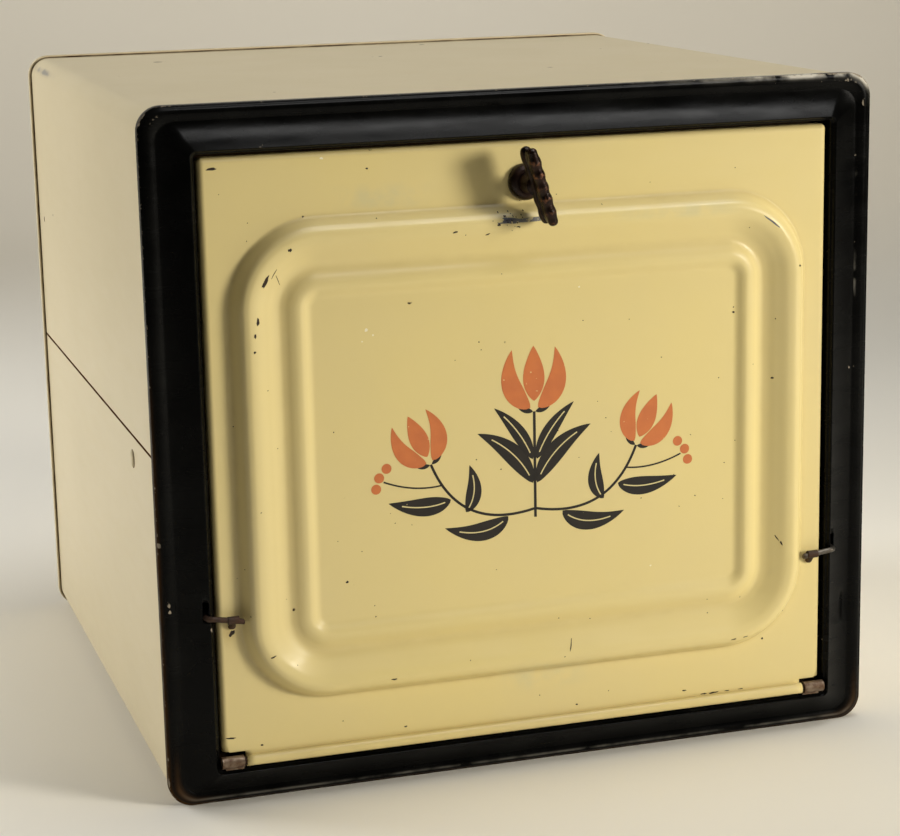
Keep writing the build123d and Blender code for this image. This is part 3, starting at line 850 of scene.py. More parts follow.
@dataclass
class Body:
    """The two cream wraps of the case, lapped along a seam on each side, with a rivet below each seam."""

    half: float = 168.6
    top: float = 310.2
    bottom: float = 1.4
    corner: float = 9.6
    seam: float = 159.0
    lap: float = 10.0
    lap_step: float = 0.9
    groove: float = 0.9
    start: float = FRONT_Y + 1.7
    end: float = BACK_Y - 0.9
    wave: float = 150.0
    wave_depth: float = 0.35
    wave_fade: float = 40.0
    rivet_y: float = FRONT_Y + 60.0
    rivet_z: float = 147.0
    rivet_radius: float = 3.9
    rivet_head: float = 1.25
    rivet_shank: float = 1.6
    rivet_tail: float = 3.1
    rivet_grip: float = 3.0

    def corner_arc(self, centre: Pair, start: float, stop: float) -> np.ndarray:
        """A corner of a section: an arc of the corner radius between two angles in degrees."""
        angle = np.radians(np.linspace(start, stop, 13))
        return centre + self.corner * columns(np.cos(angle), np.sin(angle))

    def section(self, brink: float, level: float, way: int) -> np.ndarray:
        """A wrap's section across X and Z: along the right side from its brink, round a corner, across at its
        level, round the other corner and back along the left side.

        Args:
            brink: height at which the sides begin.
            level: height of its top or bottom.
            way: 1 for a wrap that goes up from its brink, -1 for one that goes down.

        Returns:
            An (n, 2) array of points.
        """
        inner, bend = self.half - self.corner, level - way * self.corner
        close = np.array([0.0, 0.2, 0.5, 0.9])
        side = brink + way * np.concatenate([close, np.linspace(1.6, abs(bend - brink), 33)])
        return np.concatenate([
            columns(self.half, side)[:-1],
            self.corner_arc((inner, bend), 0, way * 90),
            columns(np.linspace(inner, -inner, 49)[1:-1], level),
            self.corner_arc((-inner, bend), way * 90, way * 180),
            columns(-self.half, side[::-1])[1:],
        ])

    def wrap(self, profile: np.ndarray, seed: int) -> Patch:
        """A section carried along Y, with a slow unevenness square to it that fades out at the front and back
        edges, the corners and the seams. Dirt lies in the seam; a dark line of dirt and painted shade lies in
        the gap at the back fold.

        Args:
            profile: (n, 2) points across X and Z.
            seed: seed of the unevenness.

        Returns:
            The wrap.
        """
        tail = np.array([26, 23, 20, 17.5, 15, 13, 11, 9, 6.5, 5.6, 5.0, 4.4, 3.8, 0.0])
        y = np.concatenate([np.linspace(self.start, self.end - 30, 44), self.end - tail])
        x, z = profile[:, :1], profile[:, 1:]
        tangent = np.gradient(profile, axis=0)
        tangent /= np.linalg.norm(tangent, axis=1, keepdims=True)
        inward = columns(-tangent[:, 1], tangent[:, 0])
        middle = np.array([0.0, (self.top + self.bottom) / 2])
        inward *= np.sign(np.sum(inward * (middle - profile), axis=1, keepdims=True))
        ends = np.minimum(y - self.start, self.end - y)
        from_side = (self.half - np.minimum(np.abs(x), self.half - 0.01)) / self.wave_fade
        from_bend = (np.minimum(z - self.bottom, self.top - z) - self.corner) / self.wave_fade
        fade = np.clip(ends / self.wave_fade, 0, 1) * np.clip(np.abs(z - self.seam) / 30, 0, 1)
        fade = fade * np.clip(from_side + np.clip(from_bend, 0, 1), 0, 1)
        dip = self.wave_depth * fade * (0.5 + 0.5 * ripple(y + x, z + 0.6 * x, self.wave, seed))
        points = columns(x + dip * inward[:, :1], y, z + dip * inward[:, 1:])
        x, up = points[..., 0], points[..., 2]
        # A dark line of dirt in the seam, dirt and painted shade in the gap at the back fold, and a little
        # darker towards the bottom
        soil = 2.4 * bell(up, self.seam - 0.6 * self.groove, 0.65, 4) + 0.8 * bell(y, self.end - 4.3, 0.8)
        soil += 0.1 * np.exp(-np.minimum(up, 60) / 18)
        # A grey knock on the upper left edge, near the back
        chip = bell(x, 0.15 * self.corner - self.half, 1.2) * bell(up, self.top - 0.47 * self.corner, 1.2)
        bloom_and_highlight = 1.8 * chip * bell(y, self.end - 40, 22)
        return Patch.grid(points, 0.22 * np.exp(-ends / 6), np.clip(soil, 0, 2.2), bloom_and_highlight)

    def build_rivets(self, finishes: Finishes) -> None:
        """Turns the two shelf rivets: a domed head, the paint round it, the shank and the inner end.

        Args:
            finishes: the finishes by name.
        """
        r, shank, tail, grip = self.rivet_radius, self.rivet_shank, self.rivet_tail, -self.rivet_grip
        dome = np.linspace(0, np.pi / 2, 10)
        head = columns(r * np.sin(dome) ** 0.8, self.rivet_head * np.cos(dome))
        paint = [[r + 0.1, 0.05], [r + 0.45, 0.03], [r + 0.5, -0.1]]
        pin = [[shank, -0.1], [shank, grip], [tail, grip], [tail, grip - 0.9], [0.0, grip - 1.1]]
        outline = np.concatenate([head, paint, pin])
        # The dark ring at the head's foot, darker on its front side, is dirt with painted shade round the
        # head
        ring = np.interp(np.arange(len(outline)), [0, 7, 9, 10, 12, 14], [0.0, 0.1, 0.7, 2.0, 2.0, 0.3])
        turn = np.linspace(0, 2 * np.pi, 48, endpoint=False)
        soil = ring[:, None] * (0.6 - 0.4 * np.cos(turn))
        heads = []
        for side, axis in ((Side.LEFT, "-x"), (Side.RIGHT, "x")):
            points = turned(outline, (side.value * self.half, self.rivet_y, self.rivet_z), axis, len(turn))
            heads.append(Patch.grid(points, 0.2, soil, closed=True))
        make_piece(
            "shelf_rivet_pair", Patch.joined(heads), finishes["body_cream"], "cabinet",
            stands_for=("shelf_rivets",),
        )

    def build(self, finishes: Finishes) -> None:
        """Builds the upper wrap, the lower wrap with its joggled laps, and the rivets.

        Args:
            finishes: the finishes by name.
        """
        step_z = self.seam + np.array([self.lap, 3.0, 0.05, -0.25])
        lap = columns(self.half - self.lap_step * np.array([1.0, 1.0, 1.0, 0.6]), step_z)
        lower = self.section(self.seam - self.groove, self.bottom, -1)
        lower = np.concatenate([lap, lower, lap[::-1] * [-1, 1]])
        upper = self.section(self.seam, self.top, 1)
        for word, profile, seed in (("upper", upper, 3), ("lower", lower, 8)):
            make_piece(
                f"body_{word}_sheet", self.wrap(profile, seed), finishes["body_cream"], "cabinet",
                thickness=SHEET, outward=(1, 0, 0), stands_for=(f"body_{word}_wrap",),
            )
        self.build_rivets(finishes)


@dataclass
class BackPanel:
    """The back: a plate set in by a chuck wall, its edge folded round the end of the body."""

    half: float = HALF
    height: float = HEIGHT
    corner: float = CORNER
    rim: float = 4.5
    recess: float = 5.2
    fold: float = 3.1
    border: float = 8.0
    inner_corner: float = 3.0
    wave: float = 170.0
    wave_depth: float = 0.4
    wave_seed: int = 5

    def build(self, finishes: Finishes) -> None:
        """Builds the rim, the chuck wall and the plate as rings that shrink to the middle.

        Args:
            finishes: the finishes by name.
        """
        rim, floor, fold = -self.rim, -self.recess, self.fold
        # Inset from the rim and distance past the back plane
        rows = np.array([
            (1.3, rim + 0.1), (0.75, rim), (0.6, rim), (0.15, rim), (0.0, rim + 0.2), (0.0, rim + 0.5),
            (0.0, -0.7), (0.12, -0.3), (0.35, -0.08), (0.7, 0.0), (2.3, 0.0), (2.7, -0.1), (3.0, -0.35),
            (fold, -0.8), (fold, floor + 0.8), (3.3, floor + 0.25), (3.9, floor), (self.border, floor),
        ])
        marks = Sampling.even(41, 41, 10)
        least = self.inner_corner
        rings = [
            marks.ring(self.half - inset, inset, self.height - inset, max(self.corner - inset, least))
            for inset in rows[:, 0]
        ]
        shrink = np.linspace(1, 0, 21)[1:]
        middle = self.height / 2
        half, span = self.half - self.border, middle - self.border
        rings += [marks.ring(half * s, middle - span * s, middle + span * s, least * s) for s in shrink]
        points = stack_rings(rings, BACK_Y + np.concatenate([rows[:, 1], np.full(len(shrink), floor)]))
        row = np.arange(len(rings), dtype=float)
        flat = np.clip((row - len(rows)) / 6, 0, 1)[:, None]
        swell = 0.5 + 0.5 * ripple(points[..., 0], points[..., 2], self.wave, self.wave_seed)
        points[..., 1] -= self.wave_depth * flat * swell
        wear = np.interp(row, [0, 6, 8, 11, 14], [0.2, 0.25, 0.36, 0.3, 0.0])
        # The rows that reach over the gap to the body are darkest: dirt and painted shade in that gap
        soil = np.interp(row, [0, 1, 2, 7, 12, 15, 16, 17], [1.0, 1.0, 0.1, 0.05, 0.2, 0.7, 0.3, 0.0])
        make_piece(
            "back_panel_pressing", Patch.grid(points, wear[:, None], soil[:, None], closed=True),
            finishes["body_cream"], "cabinet",
            thickness=SHEET, outward=(0, -1, 0), stands_for=("back_panel",),
        )


@dataclass
class Door:
    """The cream-yellow door: a shallow pan with a ringed, raised panel, a curled lower edge round the hinge
    wire and a notch at each hinge."""

    half: float = 145.9
    top: float = 289.2
    back: float = FRONT_Y + 2.7
    bend: float = 2.6
    corner: float = 0.5
    notch: float = 135.6
    notch_top: float = 24.3
    ring_half: float = 135.7
    ring_low: float = 44.5
    ring_high: float = 262.3
    ring_corner: float = 40.0
    curl_bore: float = 1.75
    curl_turn: float = 316.0
    wave: float = 110.0
    wave_depth: float = 0.22
    wave_seed: int = 21
    # Distance from the edge at which the waves begin, and the length over which they grow
    wave_fade: Pair = (5.0, 20.0)
    # Place across and up, half width and half height of the patches that are chalky with age
    blooms: tuple[tuple[float, float, float, float], ...] = (
        (-66.0, 268.0, 21.0, 5.0), (6.0, 44.0, 20.0, 7.0), (70.0, 255.0, 26.0, 3.0),
    )
    # Distance inside the foot of the outer ring, and height of the pressing over the door's face
    press: tuple[Pair, ...] = (
        (-2.0, 0.0), (0.0, 0.0), (0.7, 0.4), (2.0, 2.2), (4.2, 6.0), (6.0, 7.4), (8.0, 7.9), (10.5, 7.5),
        (16.0, 4.9), (20.5, 2.6), (22.5, 2.1), (24.5, 2.6), (27.0, 3.9), (29.4, 4.7), (30.8, 4.8),
        (33.0, 4.0), (35.0, 2.8), (36.5, 2.4), (40.0, 2.4),
    )

    @property
    def flat_half(self) -> float:
        """Half width of the face inside its bent edge."""
        return self.half - self.bend

    @property
    def flat_top(self) -> float:
        """Height of the face below its bent edge."""
        return self.top - self.bend

    def relief(self, inset: np.ndarray) -> np.ndarray:
        """Height of the pressing over the door's face at a distance inside the foot of its outer ring."""
        knots, heights = np.array(self.press).T
        return smooth_curve(knots, heights, np.clip(inset, knots[0], knots[-1]))

    def inset_at(self, x: np.ndarray, z: np.ndarray) -> np.ndarray:
        """Distance inside the foot of the outer ring: minus the signed distance to a rounded rectangle.

        Args:
            x: places across.
            z: places up.

        Returns:
            The distance at each place, below 0 outside the ring.
        """
        middle, span = (self.ring_low + self.ring_high) / 2, (self.ring_high - self.ring_low) / 2
        qx = np.abs(x) - (self.ring_half - self.ring_corner)
        qz = np.abs(z - middle) - (span - self.ring_corner)
        outside = np.hypot(np.maximum(qx, 0), np.maximum(qz, 0))
        return self.ring_corner - outside - np.minimum(np.maximum(qx, qz), 0)

    def unevenness(self, x: np.ndarray, z: np.ndarray) -> np.ndarray:
        """Slow waves of the sheet, up to a quarter of a millimetre, that fade out at the door's edges.

        Args:
            x: places across.
            z: places up.

        Returns:
            How far the sheet stands forward at each place.
        """
        edge = np.minimum(self.half - np.abs(x), np.minimum(self.top - z, z - self.notch_top))
        fade = np.clip((edge - self.wave_fade[0]) / self.wave_fade[1], 0, 1)
        return self.wave_depth * fade * ripple(x, z, self.wave, self.wave_seed)

    def surface_y(self, x: np.ndarray, z: np.ndarray, lift: float = 0.0) -> np.ndarray:
        """Depth of the door's front at a place, with a lift in front of it."""
        return DOOR_Y - self.relief(self.inset_at(x, z)) - self.unevenness(x, z) - lift

    def face(self, marks: Sampling) -> Patch:
        """The front as rings: from its border to the foot of the pressing, over it, then shrinking to the
        middle. A ring is border + s (foot - border), outer + inset, or middle + s (last - middle).

        Args:
            marks: how the rings are sampled.

        Returns:
            The front, with its rubbed ridges, its dirt and its chalky patches.
        """
        spread = np.array([0, 0.02, 0.12, 0.25, 0.375, 0.5, 0.625, 0.75, 0.875])[:, None]
        insets = np.concatenate([np.linspace(self.press[0][0], 10, 27), np.linspace(10.8, 40, 38)])
        shrink = np.linspace(1, 0, 17)[1:, None]
        # Half width, lower edge, upper edge and corner radius of a ring
        border = np.array([self.flat_half, self.notch_top, self.flat_top, self.corner])
        outer = np.array([self.ring_half, self.ring_low, self.ring_high, self.ring_corner])
        pressed = outer + insets[:, None] * [-1, 1, -1, -1]
        centre = pressed[-1, 1:3].mean() * np.array([0, 1, 1, 0])
        approach, inside = border + spread * (pressed[0] - border), centre + shrink * (pressed[-1] - centre)
        rings = [marks.ring(*row) for row in np.concatenate([approach, pressed, inside])]
        # Values past both ends of the pressing stand for the flat border and the flat middle
        depth = np.concatenate([np.full(len(spread), -10.0), insets, np.full(len(shrink), 60.0)])
        points = stack_rings(rings, DOOR_Y - self.relief(depth))
        x, z, depth = points[..., 0], points[..., 2], depth[:, None]
        points[..., 1] -= self.unevenness(x, z)
        # Crests of the ring and the inner bead are rubbed. Dirt lies at the ring's foot, in its valley and
        # below the left stay.
        wear = 0.2 * bell(depth, 7.5, 2.5) + 0.1 * bell(depth, 30, 2)
        soil = 0.2 * bell(depth, 0.6, 1.2) + 0.12 * bell(depth, 22.5, 2)
        soil = soil + 0.55 * bell(x, -141, 3.6) * bell(z, 81, 6)
        bloom_and_highlight = sum(0.7 * bell(x, mx, wide, 4) * bell(z, mz, tall, 4) for mx, mz, wide, tall in self.blooms)
        return Patch.grid(points, wear, np.clip(soil, 0, 1), bloom_and_highlight, closed=True)

    def flange(self, marks: Sampling) -> Patch:
        """The edge at the sides and top: a quarter turn of the bend, then straight back.

        Args:
            marks: how the rings are sampled.

        Returns:
            The flange, as rings without their lower sides and corners.
        """
        bends = np.radians(np.linspace(0, 90, 8))
        straight = np.linspace(self.bend, self.back - DOOR_Y, 5)[1:]
        out = np.concatenate([self.bend * np.sin(bends), np.full(len(straight), self.bend)])
        fall = np.concatenate([self.bend * (1 - np.cos(bends)), straight])
        low = self.notch_top + self.corner
        sizes = zip(out, self.corner + 0.6 * out)
        rings = [marks.ring(self.flat_half + e, low - r, self.flat_top + e, r) for e, r in sizes]
        kept = 2 * len(marks.upright) + len(marks.across) + 2 * marks.corner
        wear = np.interp(np.arange(len(out)), [0, 3, 5, 8, 11], [0.12, 0.3, 0.34, 0.2, 0.4])
        soil = np.linspace(0, 0.5, len(out))
        return Patch.grid(stack_rings(rings, DOOR_Y + fall)[:, :kept], wear[:, None], soil[:, None])

    def curl(self, marks: Sampling) -> Patch:
        """The lower edge between the notches: straight down, then a turn about the hinge wire.

        Args:
            marks: how the rings of the face are sampled.

        Returns:
            The curl.
        """
        run = (2 * np.array(marks.across) - 1) * (self.flat_half - self.corner)
        run = run[np.abs(run) < self.notch + 0.01]
        drop = np.linspace(self.notch_top, HINGE_Z, 5)
        turn = np.radians(np.linspace(0, self.curl_turn, 30)[1:])
        y = np.concatenate([np.full(len(drop), DOOR_Y), HINGE_Y + self.curl_bore * np.cos(turn)])
        z = np.concatenate([drop, HINGE_Z - self.curl_bore * np.sin(turn)])
        step = np.arange(len(y))
        wear = np.interp(step, [0, 5, 15, 24, len(step)], [0.0, 0.05, 0.25, 0.3, 0.38])
        soil = np.interp(step, [0, 3, 6, len(step)], [0.0, 0.15, 0.15, 0.1])
        return Patch.grid(columns(run, y[:, None], z[:, None]), wear[:, None], soil[:, None])

    def build(self, finishes: Finishes) -> None:
        """Builds the pressing from its face, its flange and its curl, sampled with a mark at each notch.

        Args:
            finishes: the finishes by name.
        """
        span = self.flat_half - self.corner
        notches = [(span + self.notch) / (2 * span), (span - self.notch) / (2 * span)]
        marks = Sampling.even(81, 71, 22, (notches, []))
        make_piece(
            "door_panel_pressing", Patch.joined([self.face(marks), self.flange(marks), self.curl(marks)]),
            finishes["door_yellow"], "door",
            thickness=SHEET, outward=(0, -1, 0), stands_for=("door_panel",),
        )


class Ink(Enum):
    """The printed colours of the spray on the door, each with its lift over the enamel in millimetres."""

    BLACK = ("black_ink", 0.05)
    ORANGE = ("orange_ink", 0.08)
    CREAM = ("cream_ink", 0.11)


Print = tuple[Ink, np.ndarray]


@dataclass
class PrintedSpray:
    """A plain folk spray on the raised panel: three tulips on bowed stems with smooth leaves and berries,
    alike on both sides of its middle line."""

    door: Door
    middle: float = 2.0
    base: float = 119.0
    steps: int = 28
    # Start, control and end point of each leaf to the right of the middle line, and its half width
    leaves: tuple[tuple[tuple[Pair, Pair, Pair], float], ...] = (
        (((1.0, 16.0), (8.0, 33.0), (27.0, 41.0)), 4.6),
        (((13.0, 1.6), (24.0, -9.0), (43.0, -1.0)), 4.4),
        (((40.0, 12.0), (52.0, 7.0), (69.0, 13.0)), 4.3),
        (((33.0, 5.5), (26.0, 14.0), (31.0, 27.0)), 3.6),
        (((1.0, 27.0), (6.0, 41.0), (19.0, 52.0)), 3.4),
    )

    def ribbon(self, line: tuple[Pair, Pair, Pair], half: np.ndarray | float) -> np.ndarray:
        """A strip along a quadratic Bezier line: point = line(t) + w half(t) normal(t), for w from -1 to 1.

        Args:
            line: start, control and end point across and up, from the middle line.
            half: half width, one for all or one for each of the steps along it.

        Returns:
            A (steps, 9, 2) array of places.
        """
        a, b, c = np.array(line, float)
        t = np.linspace(0, 1, self.steps)[:, None]
        path = (1 - t) ** 2 * a + 2 * t * (1 - t) * b + t**2 * c
        tangent = 2 * (1 - t) * (b - a) + 2 * t * (c - b)
        tangent /= np.linalg.norm(tangent, axis=1, keepdims=True)
        normal = columns(-tangent[:, 1], tangent[:, 0])
        reach = np.broadcast_to(np.asarray(half, float), (self.steps,))[:, None, None]
        return path[:, None] + reach * np.linspace(-1, 1, 9)[None, :, None] * normal[:, None]

    def leaf_width(self, width: float, belly: float = 0.8) -> np.ndarray:
        """Half width of a pointed leaf: width times the sine of pi t to a power that moves its belly."""
        t = np.linspace(0, 1, self.steps)
        return width * np.sin(np.pi * t**belly) ** 0.85

    def berry(self, place: Pair, radius: float) -> np.ndarray:
        """A disc: rings of points about a place."""
        turn = np.linspace(0, 2 * np.pi, 25)
        return place + np.linspace(0, radius, 4)[:, None, None] * columns(np.cos(turn), np.sin(turn))

    def tulip(self, foot: Pair, lean: float, size: float) -> list[Print]:
        """A tulip of three petals with a black cup under it, leaning from upright by an angle in degrees.

        Args:
            foot: where its stem meets it.
            lean: its lean to the right.
            size: its height.

        Returns:
            The printed shapes with their inks.
        """
        turn = math.radians(lean)
        along = np.array([math.sin(turn), math.cos(turn)])
        beside = np.array([math.cos(turn), -math.sin(turn)])

        def place(side: float, up: float) -> Pair:
            """A point of the flower, in shares of its size."""
            return tuple(np.array(foot) + size * (side * beside + up * along))

        shapes = []
        for s in (-1, 1):
            petal = (place(s * 0.06, 0.06), place(s * 0.52, 0.34), place(s * 0.34, 0.96))
            shapes.append((Ink.ORANGE, self.ribbon(petal, self.leaf_width(0.155 * size, 0.75))))
            cup = (place(s * 0.02, 0.0), place(s * 0.2, 0.02), place(s * 0.3, 0.2))
            shapes.append((Ink.BLACK, self.ribbon(cup, self.leaf_width(0.05 * size))))
        petal = (place(0, 0.16), place(0, 0.5), place(0, 1.0))
        shapes.append((Ink.ORANGE, self.ribbon(petal, self.leaf_width(0.17 * size, 0.9))))
        dots = (place(-0.07, 0.42), place(0, 0.49), place(0.07, 0.42))
        return shapes + [(Ink.BLACK, self.berry(dot, 0.028 * size)) for dot in dots]

    def half_spray(self) -> list[Print]:
        """Draws the spray's right half: a tulip on a bowed stem, leaves with veins, and a sprig of berries.

        Returns:
            The printed shapes with their inks.
        """
        shapes = self.tulip((49.0, 29.0), 24.0, 25.0)
        shapes.append((Ink.BLACK, self.ribbon(((0.5, 4.0), (36.0, -4.0), (49.0, 29.0)), 0.6)))
        for line, width in self.leaves:
            shapes.append((Ink.BLACK, self.ribbon(line, self.leaf_width(width))))
            shapes.append((Ink.CREAM, self.ribbon(line, 0.28)[3:23]))
        shapes.append((Ink.BLACK, self.ribbon(((44.0, 19.0), (57.0, 17.0), (71.0, 23.0)), 0.38)))
        berries = ((73.0, 25.0), (69.5, 29.0), (74.5, 20.0))
        return shapes + [(Ink.ORANGE, self.berry(place, 2.3)) for place in berries]

    def build(self, finishes: Finishes) -> None:
        """Lays the spray on the door as one thin piece for each ink.

        Args:
            finishes: the finishes by name.
        """
        half = self.half_spray()
        mirrored = [(ink, shape[:, ::-1] * [-1.0, 1.0]) for ink, shape in half]
        stem = (Ink.BLACK, self.ribbon(((0.0, 0.0), (0.0, 25.0), (0.0, 49.0)), 0.65))
        shapes = [*half, *mirrored, *self.tulip((0.0, 49.0), 0.0, 30.0), stem]
        for ink in Ink:
            finish, lift = ink.value
            patches = []
            for shape in (shape for colour, shape in shapes if colour is ink):
                x, z = shape[..., 0] + self.middle, shape[..., 1] + self.base
                patches.append(Patch.grid(columns(x, self.door.surface_y(x, z, lift), z)))
            make_piece(
                f"door_print_{ink.name.lower()}", Patch.joined(patches), finishes[finish], "door",
                outward=(0, -1, 0), shading=Shading.SMOOTH,
            )


@dataclass
class Hinge:
    """The hinge wire in the door's curl."""

    radius: float = 1.7
    end: float = 146.9
    rounding: float = 0.9

    def build(self, finishes: Finishes) -> None:
        """Builds the wire as a tube with rounded ends.

        Args:
            finishes: the finishes by name.
        """
        close = np.array([0, 0.1, 0.4, 0.9])
        run = np.concatenate([close, np.linspace(1.5, 2 * self.end - 1.5, 60), 2 * self.end - close[::-1]])
        run -= self.end
        radius = self.radius * round_end(self.end - np.abs(run), self.rounding)
        wire = tube(columns(run, HINGE_Y, HINGE_Z), np.array([0, 0, 1.0]), radius, 18)
        make_piece(
            "hinge_wire_rod", Patch.grid(wire, wear=0.3, closed=True), finishes["rusty_steel"], "door",
            shading=Shading.SMOOTH, stands_for=("hinge_wire",),
        )


@dataclass
class Stays:
    """The bent wires that carry the open door: a short leg through an eye, a long leg through the frame and a
    hook at its end."""

    radius: float = 1.3
    rounding: float = 0.7
    inner: float = 134.4
    leg: float = 151.0
    hook: float = 157.0
    bend: float = 2.6
    swing: float = 85.0
    spare: float = 13.0
    eye: float = 139.5
    eye_width: float = 5.2
    eye_bore: float = 1.45
    eye_radius: float = 1.8
    # How far the short leg sags for each millimetre of its length
    droop: dict[Side, float] = field(default_factory=lambda: {Side.LEFT: 0.18, Side.RIGHT: 0.13})
    # The left rod, in shade and rustier, takes the dark rusted finish and the right rod, in the light, the
    # paler plain steel: the difference is partly painted light and shade
    finish_by_rust_and_light: dict[Side, str] = field(
        default_factory=lambda: {Side.LEFT: "rusty_steel", Side.RIGHT: "steel"}
    )

    def centre_line(self) -> np.ndarray:
        """The centre line in its own plane: three straight runs joined by two quarter turns.

        Returns:
            Two rows: distances across, and distances back along the long leg.
        """
        throw = 2 * math.hypot(HINGE_Y - STAY_Y, STAY_Z - HINGE_Z) * math.sin(math.radians(self.swing / 2))
        length, bend = throw + self.spare, self.bend
        turn = np.radians(np.linspace(0, 90, 10))
        sine, rest = bend * np.sin(turn), bend * (1 - np.cos(turn))
        close = np.array([0.0, 0.08, 0.3, 0.7])
        return np.concatenate([
            columns(self.inner + close, 0),
            columns(np.linspace(self.inner + 1.5, self.leg - bend, 12), 0),
            columns(self.leg - bend + sine, rest)[1:],
            columns(self.leg, np.linspace(bend, length - bend, 40)[1:-1]),
            columns(self.leg + rest, length - bend + sine),
            columns(np.linspace(self.leg + bend, self.hook - 1.0, 4)[1:], length),
            columns(self.hook - close[::-1], length),
        ]).T

    def build_eyes(self, finishes: Finishes) -> None:
        """Builds the two eyes on the door: a collar turned about X and a tapered tab from it into the sheet.

        Args:
            finishes: the finishes by name.
        """
        half, r, bore = self.eye_width / 2, self.eye_radius, self.eye_bore
        outline = np.array([
            [bore, -half], [r - 0.2, -half], [r, 0.25 - half], [r, half - 0.25], [r - 0.2, half],
            [bore, half], [bore, -half],
        ])
        t = np.linspace(0, 1, 9)
        tab_y = STAY_Y + 0.6 + t * (DOOR_Y + 0.2 - STAY_Y - 0.6)
        thick = np.concatenate([[0.0], 0.85 + 0.5 * t[1:-1], [0.0]])
        for side in Side:
            x = side.value * self.eye
            # The eye drops by most of the leg's sag at its place
            middle = STAY_Z - 0.86 * self.droop[side] * (self.leg - self.bend - self.eye)
            tab = columns(x, tab_y, middle - 1.0 - 3.5 * t**0.8)
            patches = [
                Patch.grid(turned(outline, (x, STAY_Y, middle), "x", 28), 0.25, closed=True),
                Patch.grid(tube(tab, np.array([1.0, 0, 0]), thick, 14, 1.35), 0.2, closed=True),
            ]
            make_piece(
                f"stay_eye_loop_{side.word}", Patch.joined(patches), finishes["rusty_steel"], "door",
                stands_for=(f"stay_eye_{side.word}",),
            )

    def build(self, finishes: Finishes) -> None:
        """Builds the eyes and both rods. A rod's plane holds X and the long leg, which leans back from level.

        Args:
            finishes: the finishes by name.
        """
        self.build_eyes(finishes)
        lean = math.atan2(HINGE_Y - STAY_Y, STAY_Z - HINGE_Z)
        across, behind = self.centre_line()
        travelled = np.concatenate([[0], np.cumsum(np.hypot(np.diff(across), np.diff(behind)))])
        radius = self.radius * round_end(np.minimum(travelled, travelled[-1] - travelled), self.rounding)
        normal = np.array([0, -math.sin(lean), math.cos(lean)])
        y, z = STAY_Y + behind * math.cos(lean), STAY_Z + behind * math.sin(lean)
        for side in Side:
            sag = self.droop[side] * np.clip(self.leg - self.bend - across, 0, None)
            rod = tube(columns(side.value * across, y, z - sag), normal, radius)
            make_piece(
                f"stay_wire_{side.word}", Patch.grid(rod, wear=0.25, closed=True),
                finishes[self.finish_by_rust_and_light[side]], f"stay_{side.word}",
                shading=Shading.SMOOTH, stands_for=(f"stay_rod_{side.word}",),
            )


